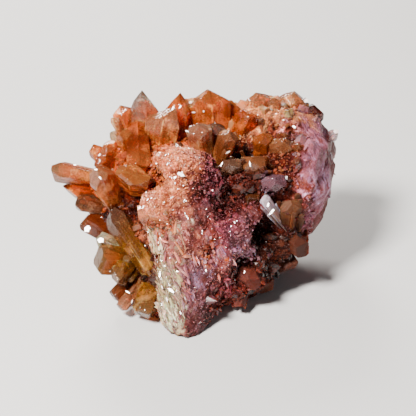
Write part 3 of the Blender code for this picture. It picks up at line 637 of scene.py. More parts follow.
HABITS = {
    "spear": ((0.0, 0.0), ((8, 57, 0.0), (172, 60, 0.0), (95, 50, 0.0), (268, 56, 0.0))),
    "gable": ((0.0, 0.0), ((4, 36, 0.0), (178, 32, 0.0), (92, 58, 0.3), (266, 55, 0.2))),
    "oblique": ((0.45, 0.1), ((198, 33, 0.0), (15, 74, 0.0), (105, 62, 0.2), (285, 58, 0.2))),
    "roof": ((0.0, 0.0), ((90, 42, 0.0), (270, 50, 0.0), (5, 70, 0.5), (180, 74, 0.4))),
    "blunt": ((0.1, 0.2), ((215, 12, 0.0), (80, 48, 0.4), (330, 52, 0.5), (150, 56, 0.6))),
}
SPRAYS = {
    "upper_left_spray": {
        "spear": Crystal((-6.0, 5.0, 16.5), (-7.5, 7.8, 28.1), 4.9, 3.8, "spear", 12),
        "spear left": Crystal((-8.0, 5.5, 17.0), (-10.6, 7.7, 25.7), 3.1, 2.6, "gable", -10),
        "spear bud": Crystal((-8.5, 6.0, 18.0), (-11.8, 5.9, 24.6), 1.4, 1.3, "oblique", 20),
        "facing": Crystal((-8.0, 7.0, 24.0), (-7.4, -3.2, 21.3), 3.8, 3.0, "blunt", 0),
        "slanted": Crystal((-4.5, 3.0, 17.0), (-2.7, 4.8, 26.8), 5.8, 3.8, "oblique", 180),
        "tall right": Crystal((-3.5, 5.0, 16.5), (-2.1, 7.6, 27.8), 4.1, 3.4, "spear", -18),
        "step a": Crystal((-8.0, 4.0, 17.0), (-10.0, 3.3, 23.9), 3.2, 2.8, "roof", 30),
        "step b": Crystal((-8.5, 5.0, 16.0), (-12.7, 2.8, 21.9), 3.2, 2.6, "gable", 20),
        "pale bud": Crystal((-8.5, 6.5, 17.0), (-12.0, 6.4, 22.2), 2.1, 1.8, "oblique", 40),
        "step c": Crystal((-9.0, 4.5, 15.5), (-14.6, 4.0, 21.0), 2.7, 2.3, "roof", 15),
        "step d": Crystal((-9.0, 3.5, 16.0), (-13.7, 0.7, 21.1), 3.0, 2.6, "roof", 15),
        "left blade": Crystal((-9.5, 3.5, 15.5), (-20.1, 0.8, 19.3), 5.0, 3.6, "oblique", 95),
        "left under": Crystal((-10.0, 3.5, 14.0), (-18.8, 2.3, 15.7), 3.8, 3.2, "spear", 0),
        "left frosted": Crystal((-10.5, 1.0, 12.5), (-13.5, -3.5, 21.7), 4.4, 3.4, "spear", 18),
        "left plate": Crystal((-9.0, 1.0, 15.5), (-8.7, -6.4, 21.7), 5.6, 3.4, "blunt", -14),
        "left pink": Crystal((-10.1, 1.6, 12.2), (-16.7, -1.4, 15.0), 4.0, 3.2, "oblique", 70),
        "rear spear": Crystal((-6.0, 5.0, 16.5), (-8.0, 13.6, 21.9), 3.4, 2.8, "spear", 25),
        "rear left": Crystal((-7.5, 5.0, 16.0), (-13.2, 10.0, 17.2), 3.1, 2.5, "roof", 35),
    },
    "lower_left_spray": {
        "long glassy": Crystal((-6.0, -5.0, 6.5), (-11.5, -2.7, 14.7), 3.4, 4.2, "oblique", 100),
        "left shade": Crystal((-8.0, 0.5, 6.0), (-15.7, 1.0, 11.1), 4.0, 3.0, "blunt", 0),
        "left cream": Crystal((-8.0, -0.5, 6.0), (-13.4, -3.0, 9.9), 2.6, 2.3, "blunt", 0),
        "amber pale": Crystal((-7.5, -2.0, 5.5), (-13.4, -5.2, 7.8), 5.0, 3.8, "blunt", 0),
        "amber glass": Crystal((-8.0, -2.5, 6.5), (-10.7, -7.5, 5.6), 3.2, 2.8, "oblique", 0),
        "amber bead": Crystal((-7.5, -2.0, 5.0), (-11.3, -5.9, 2.2), 2.4, 2.2, "blunt", 0),
        "lower rod": Crystal((-6.5, -3.0, 5.0), (-10.3, -8.1, 1.8), 1.9, 1.7, "blunt", 10),
        "lower amber": Crystal((-5.5, -4.0, 5.5), (-7.2, -9.6, 1.8), 3.9, 3.2, "blunt", 30),
        "rear low": Crystal((-6.5, 0.0, 4.5), (-12.1, 3.0, 2.0), 3.1, 2.5, "spear", 15),
    },
    "top_spray": {
        "dome": Crystal((2.5, 6.5, 17.5), (1.8, 9.7, 27.3), 7.0, 5.2, "gable", 10),
        "dome left": Crystal((2.0, 6.0, 18.0), (-0.7, 9.1, 26.2), 3.6, 3.0, "blunt", -10),
        "dome right": Crystal((3.0, 7.5, 17.0), (5.1, 10.8, 25.2), 4.2, 3.4, "gable", 10),
        "orange block": Crystal((4.5, 6.5, 17.0), (7.4, 7.2, 24.9), 3.6, 3.0, "blunt", 20),
        "tan": Crystal((1.3, 3.4, 18.2), (0.4, 2.4, 25.3), 4.1, 3.4, "gable", 5),
        "smoky": Crystal((2.3, 4.8, 17.5), (2.9, 4.2, 24.6), 3.4, 2.9, "gable", 20),
        "bronze": Crystal((2.9, 3.2, 17.8), (4.9, 2.4, 24.2), 3.2, 2.8, "gable", -8),
        "rear dome": Crystal((2.5, 7.5, 17.0), (1.2, 14.8, 24.2), 4.6, 3.8, "spear", 20),
    },
    "rim_spray": {
        "rim a": Crystal((10.5, 12.0, 16.5), (8.7, 12.1, 25.6), 4.2, 3.4, "gable", 10),
        "rim b": Crystal((12.5, 13.5, 15.5), (14.3, 15.0, 24.6), 4.6, 3.6, "gable", 0),
        "rim pale": Crystal((13.0, 13.5, 15.5), (16.0, 14.6, 23.8), 2.0, 1.8, "spear", 0),
        "rim c": Crystal((13.0, 13.5, 15.5), (17.8, 14.8, 22.0), 3.8, 3.2, "blunt", 35),
        "far tip": Crystal((14.0, 14.0, 14.5), (20.8, 14.1, 18.6), 2.3, 2.0, "oblique", 60),
        "rim d": Crystal((11.5, 12.0, 16.5), (11.2, 11.8, 25.0), 3.4, 3.0, "oblique", 80),
        "rim back": Crystal((12.0, 14.5, 15.5), (11.0, 20.5, 20.0), 4.2, 3.4, "spear", 25),
    },
    "hollow_spray": {
        "hollow tan": Crystal((9.5, 4.0, 14.0), (7.7, -0.8, 21.5), 4.3, 3.2, "gable", -20),
        "hollow orange": Crystal((10.0, 6.0, 13.5), (9.5, 4.4, 22.8), 3.2, 2.8, "gable", 15),
        "band tan": Crystal((11.0, 5.5, 13.5), (12.4, 3.6, 22.4), 4.2, 3.4, "gable", 10),
        "lilac": Crystal((10.5, 3.5, 13.5), (11.0, -2.2, 18.9), 4.0, 3.2, "gable", 25),
        "brown centre": Crystal((9.0, 2.5, 13.5), (7.3, -2.8, 16.6), 4.2, 3.4, "spear", 25),
        "red glass": Crystal((8.0, 3.5, 13.0), (4.6, -0.9, 21.2), 3.4, 2.8, "gable", -30),
    },
    "front_right_spray": {
        "white splinter": Crystal((13.0, 0.0, 10.0), (9.5, -3.5, 16.5), 2.5, 1.6, "oblique", 60),
        "brown glass": Crystal((13.0, 1.0, 8.5), (13.3, -1.8, 15.4), 3.6, 3.0, "gable", 20),
        "right low": Crystal((13.0, 4.5, 7.0), (16.0, 0.8, 8.5), 3.4, 3.0, "spear", 10),
        "shade a": Crystal((12.0, 3.0, 8.0), (14.7, -2.8, 8.1), 3.8, 3.2, "blunt", 80),
        "shade b": Crystal((11.0, 2.5, 7.5), (13.6, -1.0, 4.2), 3.6, 3.0, "blunt", 0),
    },
    "low_right_spray": {
        "ledge": Crystal((9.0, 1.0, 4.0), (7.2, -7.0, 5.6), 4.4, 3.4, "gable", 0),
        "toe pink": Crystal((8.0, 0.0, 4.0), (5.9, -7.4, 1.7), 2.2, 2.0, "roof", 30),
        "shade c": Crystal((8.5, 1.5, 3.5), (10.2, -3.0, 2.4), 3.2, 2.8, "blunt", 15),
    },
    "back_spray": {
        "back a": Crystal((3.0, 9.5, 9.5), (-2.6, 18.0, 15.4), 4.0, 3.2, "spear", 10),
        "back b": Crystal((3.5, 9.0, 9.0), (3.6, 19.4, 12.6), 4.4, 3.4, "roof", 40),
        "back c": Crystal((3.0, 9.0, 8.5), (-1.0, 17.8, 8.2), 3.2, 2.8, "oblique", 20),
        "back d": Crystal((4.0, 9.0, 8.5), (8.4, 18.6, 8.0), 3.6, 3.0, "spear", 65),
        "back e": Crystal((3.5, 9.0, 8.0), (2.8, 17.0, 4.4), 2.8, 2.4, "blunt", 25),
        "back f": Crystal((2.5, 8.5, 9.0), (-7.4, 14.4, 10.2), 3.4, 2.8, "oblique", 0),
    },
}
print(sum(len(crystals) for crystals in SPRAYS.values()), "large crystals")

# %% [markdown]
# ## A crystal's faces
# A crystal is the space inside all of its faces, so the same sum that made the rock makes it: in
# each direction from a point inside, the nearest face is met first. A cone with six sides would be
# quicker, but its end would be one point in the middle, and creedite's ends are slanted.

# %% Crystal planes
ROOT_WIDTH = 0.68
ROOT_START = 0.3


def crystal_planes(crystal):
    """Unit normals and one point of each face: six walls through the edges of two similar
    hexagons, the root, and the end faces that meet at the summit."""
    length = np.linalg.norm(np.subtract(crystal.tip, crystal.root))
    low, high = -ROOT_START * crystal.width, length + crystal.width
    turns = np.radians(90 + 60 * np.arange(6))
    across = crystal.width / 2 / math.sin(math.radians(60))
    ring = np.stack([across * np.cos(turns), crystal.depth / 2 * np.sin(turns)], axis=-1)
    foot = np.column_stack([ring * ROOT_WIDTH, np.full(6, low)])
    head = np.column_stack([ring, np.full(6, high)])
    walls = unit(np.cross(np.roll(foot, -1, axis=0) - foot, head - foot))
    peak, faces = HABITS[crystal.habit]
    summit = np.array((peak[0] * crystal.width / 2, peak[1] * crystal.depth / 2, length))
    turn, slope, reach = np.array(faces, dtype=float).T
    turn, slope = np.radians(turn), np.radians(slope)
    ends = np.stack(
        [np.cos(turn) * np.sin(slope), np.sin(turn) * np.sin(slope), np.cos(slope)], axis=-1
    )
    normals = np.concatenate([walls, [(0, 0, -1.0)], ends])
    out = np.column_stack([
        reach * crystal.width / 2 * np.cos(turn), reach * crystal.depth / 2 * np.sin(turn),
        np.zeros(len(ends)),
    ])
    through = np.concatenate([foot, [(0, 0, low)], summit + out])
    return normals, through, summit, len(walls)


# %% [markdown]
# ## Low steps on the faces
# What makes a crystal look grown and not cut is that a face isn't quite flat: it is a patchwork of
# low steps, long and narrow on the walls and square on the ends. Each patch's step is a chance
# number of its own. The steps are in millimetres, and the patches are sized in crystal widths.

# %% Growth steps
WALL_STEP, WALL_PATCH, WALL_PATCH_LENGTH = 0.07, 0.17, 0.9
END_STEP, END_PATCH = 0.06, 0.24


def growth_steps(points, normals, walls, width, seed):
    """How far each face steps back at each point: the face is tiled with patches, long ones on
    the walls and square ones on the ends, and every patch has a depth of its own."""
    back = np.zeros((len(points), len(normals)))
    for i, normal in enumerate(normals):
        side = np.cross(normal, (0, 0, 1.0))
        side = side / (np.linalg.norm(side) + 1e-9)
        up = np.cross(side, normal)
        across, along = points @ side, points @ up
        if i < walls:
            cells = [across / (WALL_PATCH * width),
                     (along + 2 * across) / (WALL_PATCH_LENGTH * width)]
            depth = WALL_STEP
        else:
            cells = [across / (END_PATCH * width), along / (END_PATCH * width)]
            depth = END_STEP
        cells = np.floor(np.column_stack([*cells, np.full(len(points), i)]))
        back[:, i] = depth * chance(cells, seed) ** 2
    return back


# %% [markdown]
# ## From faces to points
# The faces' distances from a point inside, less the steps, give each direction its reach. The same
# sums tell how near a point is to an edge, where light catches, and its way round the crystal
# tells its stripe, so the finish can follow both.

# %% Crystal surface
FRONT = np.array((0.0, -0.883, 0.469))
CRYSTAL_ACROSS = 22
CRYSTAL_SHARPNESS = 80.0
HEAD_SHARE = 0.6
EDGE_START = 0.985
STRIPES = 44
STRIPE_LENGTH = 0.4


def crystal_frame(crystal):
    """Turns a crystal's own axes, across, through and along, into the object's. Its second axis
    leans to the front, and the roll turns it about its length."""
    along = unit(np.subtract(crystal.tip, crystal.root))
    across = unit(np.cross(FRONT, along))
    axes = np.stack([across, np.cross(along, across), along])
    c, s = math.cos(math.radians(crystal.roll)), math.sin(math.radians(crystal.roll))
    return np.array(((c, s, 0), (-s, c, 0), (0, 0, 1))) @ axes


def crystal_surface(crystal, directions, seed):
    """Points of a crystal, how far along it each is, from 0 at the root to 1 at the tip, how near
    an edge, where two faces are met at nearly the same reach, and a chance number for its stripe
    of the surface: stripes run along the walls and meet on the end, as growth lines do. The
    directions are stretched along the crystal first, so that they spread evenly over it."""
    normals, through, summit, walls = crystal_planes(crystal)
    head = HEAD_SHARE * crystal.width
    inside = np.array((0.0, 0.0, summit[2] - head))
    length = np.where(directions[:, 2] > 0, head, summit[2])
    half = np.tile((crystal.width / 2, crystal.depth / 2), (len(directions), 1))
    stretched = unit(directions * np.column_stack([half, length]))
    distances = ((through - inside) * normals).sum(axis=1)
    reach = flat_meeting(stretched, normals, distances, CRYSTAL_SHARPNESS)
    steps = growth_steps(inside + stretched * reach[:, None], normals, walls, crystal.width, seed)
    reach = flat_meeting(stretched, normals, distances - steps, CRYSTAL_SHARPNESS)
    own = inside + stretched * reach[:, None]
    along = np.clip(own[:, 2] / summit[2], 0, 1)
    met = np.sort(np.clip(stretched @ normals.T, 0, None) / (distances - steps), axis=1)
    edge = np.clip((met[:, -2] / met[:, -1] - EDGE_START) / (1 - EDGE_START), 0, 1)
    turn = np.arctan2(own[:, 1], own[:, 0]) / (2 * math.pi) * STRIPES
    cells = np.column_stack([np.floor(turn), np.floor(along / STRIPE_LENGTH), 0 * turn])
    stripe = chance(cells, seed)
    own[:, :2] -= summit[:2]
    return own @ crystal_frame(crystal) + np.array(crystal.root), along, edge, stripe


# %% [markdown]
# ## The sprays
# Crystals that grew together are one piece of the model, so each spray is one mesh that stands in
# for its CAD node. A real crystal is rarely alone: slimmer ones grow along its sides, parallel to
# it, and end in steps below its tip. Round the glassy ones a bundle of thin splinters reaches as
# far as the tip, or a little past it. The largest stand alone, because steps would hide their form.

# %% Crystals in company
class Company(NamedTuple):
    """The smaller crystals grown to a large one: how many, their width and depth as shares of its
    own, how far along it they end, and how far off its axis they stand."""

    count: int
    width: tuple
    depth: float
    reach: tuple
    out: float


SATELLITES = Company(3, (0.28, 0.55), 1.0, (0.45, 0.86), 0.33)
SPLINTERS = Company(12, (0.14, 0.30), 0.6, (0.55, 1.04), 0.52)
ALONE = SATELLITES._replace(count=0)
ALONE_ONES = (
    "spear", "spear left", "facing", "slanted", "tall right", "left blade", "left plate",
    "left frosted", "dome", "tan", "long glassy", "left shade",
)
SPLINTERED = (
    "white splinter", "lilac", "hollow tan", "red glass", "band tan", "brown glass", "ledge",
    "right low", "toe pink",
)
COMPANION_ACROSS = 10
COMPANION_HABITS = ("gable", "oblique", "roof")


def companions(crystal, company, rng):
    """Smaller crystals grown to one along its sides: parallel to it, and off its axis by part of
    its width."""
    axes = crystal_frame(crystal)
    way = np.subtract(crystal.tip, crystal.root)
    made = []
    for _ in range(company.count):
        turn = rng.uniform(0, 2 * math.pi)
        out = math.cos(turn) * crystal.width * axes[0] + math.sin(turn) * crystal.depth * axes[1]
        out = company.out * out
        share = rng.uniform(*company.width)
        made.append(crystal._replace(
            root=tuple(crystal.root + ROOT_WIDTH * out),
            tip=tuple(crystal.root + way * rng.uniform(*company.reach) + out),
            width=share * crystal.width, depth=company.depth * share * crystal.depth,
            habit=COMPANION_HABITS[rng.integers(len(COMPANION_HABITS))],
        ))
    return made


# %% [markdown]
# ## The crystals' colours
# The colour runs along each crystal: iron collects near the root, and the tips are paler. So each
# kind of crystal has a colour at its root and one at its tip. The tint goes with the point, and
# one material serves a whole spray.

# %% Crystals' colours
TIP_COLOUR_START = 0.55
TIP_COLOUR_SPAN = 0.4
CRYSTAL_KINDS = {
    "orange": ((0.48, 0.072, 0.006), (0.57, 0.150, 0.032)),
    "grey tip": ((0.50, 0.095, 0.010), (0.30, 0.19, 0.13)),
    "deep": ((0.42, 0.055, 0.004), (0.52, 0.105, 0.014)),
    "dull": ((0.16, 0.045, 0.016), (0.20, 0.080, 0.036)),
    "tea": ((0.07, 0.018, 0.006), (0.12, 0.040, 0.016)),
    "facing": ((0.26, 0.034, 0.003), (0.56, 0.125, 0.024)),
    "peach": ((0.50, 0.115, 0.020), (0.56, 0.22, 0.09)),
    "blade": ((0.44, 0.130, 0.030), (0.42, 0.19, 0.085)),
    "tan": ((0.38, 0.100, 0.028), (0.50, 0.22, 0.12)),
    "smoke": ((0.15, 0.040, 0.016), (0.22, 0.09, 0.05)),
    "brown": ((0.13, 0.028, 0.007), (0.20, 0.06, 0.020)),
    "glassy": ((0.30, 0.095, 0.014), (0.17, 0.068, 0.038)),
    "bronze": ((0.28, 0.062, 0.016), (0.42, 0.135, 0.050)),
    "amber": ((0.27, 0.085, 0.010), (0.29, 0.13, 0.042)),
    "cream": ((0.50, 0.350, 0.160), (0.64, 0.54, 0.34)),
    "lilac": ((0.13, 0.030, 0.026), (0.34, 0.150, 0.185)),
    "pale": ((0.34, 0.170, 0.140), (0.66, 0.50, 0.54)),
    "rust": ((0.045, 0.007, 0.004), (0.085, 0.016, 0.010)),
    # Painted shade: brown crystals at the lower right darkened nearly to black.
    "dark": ((0.030, 0.006, 0.003), (0.07, 0.016, 0.007)),
}
CRYSTALS_OF_KIND = {
    "orange": (
        "spear left", "tall right", "step a", "step b", "step c", "left plate", "rear spear",
        "dome", "dome right", "rear dome", "rim back", "back a", "back c", "back f",
    ),
    "grey tip": ("spear",),
    "deep": ("step d", "left under", "orange block", "hollow orange"),
    "dull": ("left pink",),
    "tea": ("brown glass",),
    "facing": ("facing",),
    "peach": (
        "spear bud", "slanted", "left frosted", "rear left", "dome left", "rim a", "rim b",
        "rim d", "back b",
    ),
    "blade": ("left blade",),
    "tan": ("lower rod", "tan", "back d"),
    "smoke": ("smoky", "red glass"),
    "brown": ("left shade", "amber bead", "brown centre"),
    "glassy": ("long glassy",),
    "bronze": ("bronze", "hollow tan", "band tan"),
    "amber": ("amber pale", "amber glass", "lower amber", "rear low", "back e"),
    "cream": ("pale bud", "left cream"),
    "lilac": ("lilac",),
    "pale": ("rim pale", "far tip", "white splinter"),
    "rust": ("rim c", "ledge", "toe pink"),
    # Painted shade: these crystals at the lower right are brown darkened nearly to black.
    "dark": ("right low", "shade a", "shade b", "shade c"),
}
CRYSTAL_KIND = {one: kind for kind, some in CRYSTALS_OF_KIND.items() for one in some}
SPRAY_SLOTS = {
    "upper_left_spray": "orange_creedite", "lower_left_spray": "amber_creedite",
    "top_spray": "orange_creedite", "rim_spray": "orange_creedite",
    "hollow_spray": "brown_creedite", "front_right_spray": "brown_creedite",
    "low_right_spray": "brown_creedite", "back_spray": "orange_creedite",
}


def crystal_colour(kind, along):
    """From the kind's root colour to its tip colour, by a smooth step along the crystal."""
    root, tip = (np.array(c) for c in CRYSTAL_KINDS[kind])
    share = np.clip((along - TIP_COLOUR_START) / TIP_COLOUR_SPAN, 0, 1)
    share = (share * share * (3 - 2 * share))[:, None]
    return root * (1 - share) + tip * share


print(len(CRYSTAL_KINDS), "kinds of crystal")

# %% [markdown]
# ## One mesh for each spray
# The crystals of a spray cross each other inside it. A Boolean would join them, and would cost
# their even grids; left crossing, each stays a closed surface with its faces out. What a point
# knows about its crystal is kept as attributes, for the finish to read.

# %% Sprays
CRYSTAL_SEED = 100


def build_spray(node, crystals):
    """One mesh of all the crystals of a spray and of the company grown to them."""
    rng = np.random.default_rng(len(crystals))
    large, small = ball_grid(CRYSTAL_ACROSS), ball_grid(COMPANION_ACROSS)
    points, faces, tints = [], [], []
    marks = {"along": [], "edge": [], "stripe": []}
    count = 0
    for label, crystal in crystals.items():
        company = ALONE if label in ALONE_ONES else SATELLITES
        company = SPLINTERS if label in SPLINTERED else company
        grown = [(crystal, large)]
        grown += [(extra, small) for extra in companions(crystal, company, rng)]
        for each, (directions, corners) in grown:
            own, *own_marks = crystal_surface(each, directions, CRYSTAL_SEED + len(points))
            faces.append(corners + count)
            count += len(own)
            points.append(own)
            for values, mark in zip(marks.values(), own_marks):
                values.append(mark)
            tints.append(crystal_colour(CRYSTAL_KIND[label], own_marks[0]))
    piece = put_mesh(node + "_crystals", np.concatenate(points), np.concatenate(faces), False)
    put_colour(piece, "tint", np.concatenate(tints))
    for name, values in marks.items():
        put_number(piece, name, np.concatenate(values))
    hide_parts(node)
    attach(piece, "root")
    print(piece.name, triangles(piece), "triangles")
    return piece


sprays = {node: build_spray(node, crystals) for node, crystals in SPRAYS.items()}

# %% [markdown]
# ## Thousands of small crystals
# Between the large crystals the stone glitters, because its own grains are crystals too. An
# instance system could spread them, but the export drops instances, so they are real meshes: one
# small prism of a few faces, copied by array sums to thousands of places, each copy turned,
# stretched and coloured on its own. They are flat shaded, because flat faces catch the light.

# %% Small crystals
def prism(sides, shoulder, waist, lean):
    """A small prism along +Z, one unit long and two across: a ring at its foot, waist as wide as
    the ring at its shoulder, and a point at its top, off the middle by lean."""
    turns = 2 * math.pi * np.arange(sides) / sides
    ring = np.column_stack([np.cos(turns), np.sin(turns)])
    foot = np.column_stack([ring * waist, np.full(sides, 0.0)])
    head = np.column_stack([ring, np.full(sides, shoulder)])
    points = np.concatenate([foot, head, [(0, 0, 0.0), (lean, lean / 2, 1.0)]])
    here = np.arange(sides)
    after = (here + 1) % sides
    base, top = np.full(sides, 2 * sides), np.full(sides, 2 * sides + 1)
    faces = np.concatenate([
        np.column_stack([here, after, after + sides]),
        np.column_stack([here, after + sides, here + sides]),
        np.column_stack([after, here, base]),
        np.column_stack([here + sides, after + sides, top]),
    ])
    return points, faces


def turned_frames(leans, spins):
    """For each lean, three axes of which the third is the lean, turned about it by the spin."""
    helper = np.where(np.abs(leans[:, 2:]) < 0.9, (0, 0, 1.0), (1.0, 0, 0))
    first = unit(np.cross(helper, leans))
    second = np.cross(leans, first)
    c, s = np.cos(spins)[:, None], np.sin(spins)[:, None]
    return np.stack([first * c + second * s, second * c - first * s, leans], axis=1)


def copies(shape, feet, leans, spins, widths, depths, lengths, colours):
    """Every copy of a small shape as one array of points, of faces and of colours."""
    points, faces = shape
    scale = np.stack([widths / 2, depths / 2, lengths], axis=-1)[:, None, :]
    placed = (points[None] * scale) @ turned_frames(leans, spins) + feet[:, None, :]
    shift = np.arange(len(feet))[:, None, None] * len(points)
    tints = np.repeat(colours, len(points), axis=0)
    return placed.reshape(-1, 3), (faces[None] + shift).reshape(-1, 3), tints


# %% [markdown]
# ## Where the small crystals stand
# A place is a face of the rock, drawn by chance: its area times how thickly that kind of stone is
# grown over decides how likely it is. So the sugar lies on the mounds, the needles stand round
# the sprays and the dust lies in the pits.

# %% Places on the rock
face_points = rock_points[rock_corners]
face_middles = face_points.mean(axis=1)
face_normals = np.cross(
    face_points[:, 2] - face_points[:, 0], face_points[:, 3] - face_points[:, 1]
)
face_areas = np.linalg.norm(face_normals, axis=1) / 2
face_normals = unit(face_normals)
face_pits = rock_pits[rock_corners].mean(axis=1)
face_outward = unit(face_middles - LUMP_MIDDLE)
FLOOR_MARGIN = 0.7
print(f"rock skin {face_areas.sum():.0f} square mm")


def draw_places(rng, count, density, pits):
    """Faces of the rock drawn by chance, by area, by how thick this growth is on each kind of
    stone and by how deep the face lies: pits is the liking for a pit, from -1 to 1."""
    liking = stone_mean(face_middles, density)[:, 0]
    depth = face_pits if pits > 0 else 1 - face_pits
    weight = face_areas * liking * ((1 - abs(pits)) + abs(pits) * depth)
    weight[face_middles[:, 2] < FLOOR_MARGIN] = 0
    chosen = rng.choice(len(weight), size=count, p=weight / weight.sum())
    corner = rng.dirichlet((1, 1, 1, 1), size=count)
    feet = (face_points[chosen] * corner[:, :, None]).sum(axis=1)
    return feet, unit(face_normals[chosen] + face_outward[chosen])


# %% [markdown]
# ## Five growths
# A sugary crust, needles, stout blocks, drawn-out blades and fine dust are the same crystals at
# other sizes. One row of numbers for each growth replaces five functions.

# %% Growths' numbers
class Growth(NamedTuple):
    """A kind of small crystal: how many, its prism's numbers, its width in millimetres, its length
    in widths, how far it strays from its way, how much of it is sunk, how it likes pits, how thick
    it is on each kind of stone, how bright it is, its depth in widths, and how much of its way is
    the flow of the blades and not the rock's slope."""

    count: int
    shape: tuple
    width: tuple
    stretch: tuple
    lean: float
    sink: float
    pits: float
    density: dict
    brighten: tuple
    depth: tuple = (0.7, 1.0)
    flow: float = 0.0


GROWTHS = {
    "sugar": Growth(
        10000, (4, 0.62, 0.85, 0.3), (0.12, 0.34), (0.9, 1.6), 1.1, 0.45, -0.6,
        {"orange": 0.15, "deep orange": 0.1, "sugar": 2.6, "frost_and_highlight": 2.6, "peach": 1.4,
         "salmon": 0.5, "vein": 0.8, "mauve in painted shade": 1.0,
         "rust": 0.1, "purple": 0.8, "mauve": 0.9, "cream": 0.4, "pale pink": 1.0, "tan": 0.3,
         "brown": 0.2},
        (0.5, 1.8),
    ),
    "needles": Growth(
        3600, (6, 0.72, 0.8, 0.15), (0.22, 0.65), (1.4, 2.6), 0.75, 0.45, 0.0,
        {"orange": 2.4, "deep orange": 2.6, "sugar": 0.1, "peach": 0.8, "salmon": 0.7,
         "rust": 1.6, "rust in painted shade": 0.9, "purple": 0.6, "mauve": 0.08, "cream": 0.1,
         "pale pink": 0.1, "tan": 0.7, "brown": 1.2},
        (0.6, 1.4),
    ),
    "blocks": Growth(
        420, (6, 0.62, 0.9, 0.25), (0.7, 2.0), (0.9, 1.7), 0.8, 0.55, 0.0,
        {"orange": 0.9, "deep orange": 1.0, "sugar": 0.06, "peach": 1.2, "salmon": 0.2,
         "rust": 1.0, "rust in painted shade": 0.3, "tan": 0.8, "brown": 1.0},
        (0.4, 0.95),
    ),
    # The blades' brightness, up to 2.6 times the stone's colour, is partly random tone and partly
    # painted highlight on the cream ridge.
    "blades": Growth(
        1500, (6, 0.8, 0.6, 0.2), (0.14, 0.55), (3.0, 6.0), 0.2, 0.5, 0.0,
        {"cream": 4.0, "milk": 0.5, "pale pink": 0.06, "vein": 0.15},
        (0.6, 2.6), (0.3, 0.8), 0.8,
    ),
    "dust": Growth(
        9000, (4, 0.5, 0.9, 0.0), (0.1, 0.26), (0.8, 1.3), 1.5, 0.35, 0.8,
        {"orange": 1.0, "deep orange": 1.3, "sugar": 0.5, "peach": 0.5, "salmon": 1.0,
         "rust": 2.4, "rust in painted shade": 1.5, "purple": 1.0, "mauve": 0.25, "cream": 0.1,
         "pale pink": 0.15, "tan": 0.7, "brown": 1.2},
        (0.6, 1.4),
    ),
}
print(sum(growth.count for growth in GROWTHS.values()), "small crystals")

# %% [markdown]
# ## Growing them
# Each small crystal leans by chance, because none grew alone in the open. Its colour is that of
# the stone a little way off, so neighbours differ as they do in the rock.

# %% Growths
GROWTH_SEED = 7
TINT_DRIFT = 0.6
TINT_SPREAD = (0.85, 1.15)
FLOOR_GAP = 0.02


def grow(name, growth, seed):
    """All the small crystals of one growth as one mesh. A crystal leans by chance from the rock's
    own slope or from the flow, and stands in the rock by a share of its length."""
    rng = np.random.default_rng(seed)
    feet, out = draw_places(rng, growth.count, growth.density, growth.pits)
    way = (1 - growth.flow) * out + growth.flow * FLOW
    leans = unit(way + growth.lean * rng.normal(size=out.shape))
    leans *= np.where((leans * out).sum(-1, keepdims=True) < 0, -1, 1)
    low, high = growth.width
    widths = low + (high - low) * rng.random(growth.count) ** 2
    lengths = widths * rng.uniform(*growth.stretch, growth.count)
    looked_up = feet + rng.normal(0, TINT_DRIFT, feet.shape)
    colours = stone_mean(looked_up, of_stones("colour"))
    colours = colours * rng.uniform(*growth.brighten, (growth.count, 1))
    colours = colours * rng.uniform(*TINT_SPREAD, colours.shape)
    feet = feet - leans * (growth.sink * lengths)[:, None]
    spins = rng.uniform(0, 2 * math.pi, growth.count)
    depths = widths * rng.uniform(*growth.depth, growth.count)
    shape = prism(*growth.shape)
    placed, faces, tints = copies(shape, feet, leans, spins, widths, depths, lengths, colours)
    placed[:, 2] = np.maximum(placed[:, 2], FLOOR_GAP)
    piece = put_mesh(name, placed, faces, smooth=False)
    put_colour(piece, "tint", tints)
    put_number(piece, "along", np.tile(shape[0][:, 2], growth.count))
    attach(piece, "root")
    print(name, triangles(piece), "triangles")
    return piece


growths = {
    name: grow(name, growth, GROWTH_SEED + i)
    for i, (name, growth) in enumerate(GROWTHS.items())
}

# %% [markdown]
# ## Mirror faces
# Broken creedite shows small flat cleavage faces that flash when the light is right. A flash isn't
# painted: a flake is turned so that it halves the angle between the lamp and the front, which is
# where a mirror has to face to show one to the other. The named flashes are the bright ones: each
# has a place, a width in millimetres and a depth as a share of it.

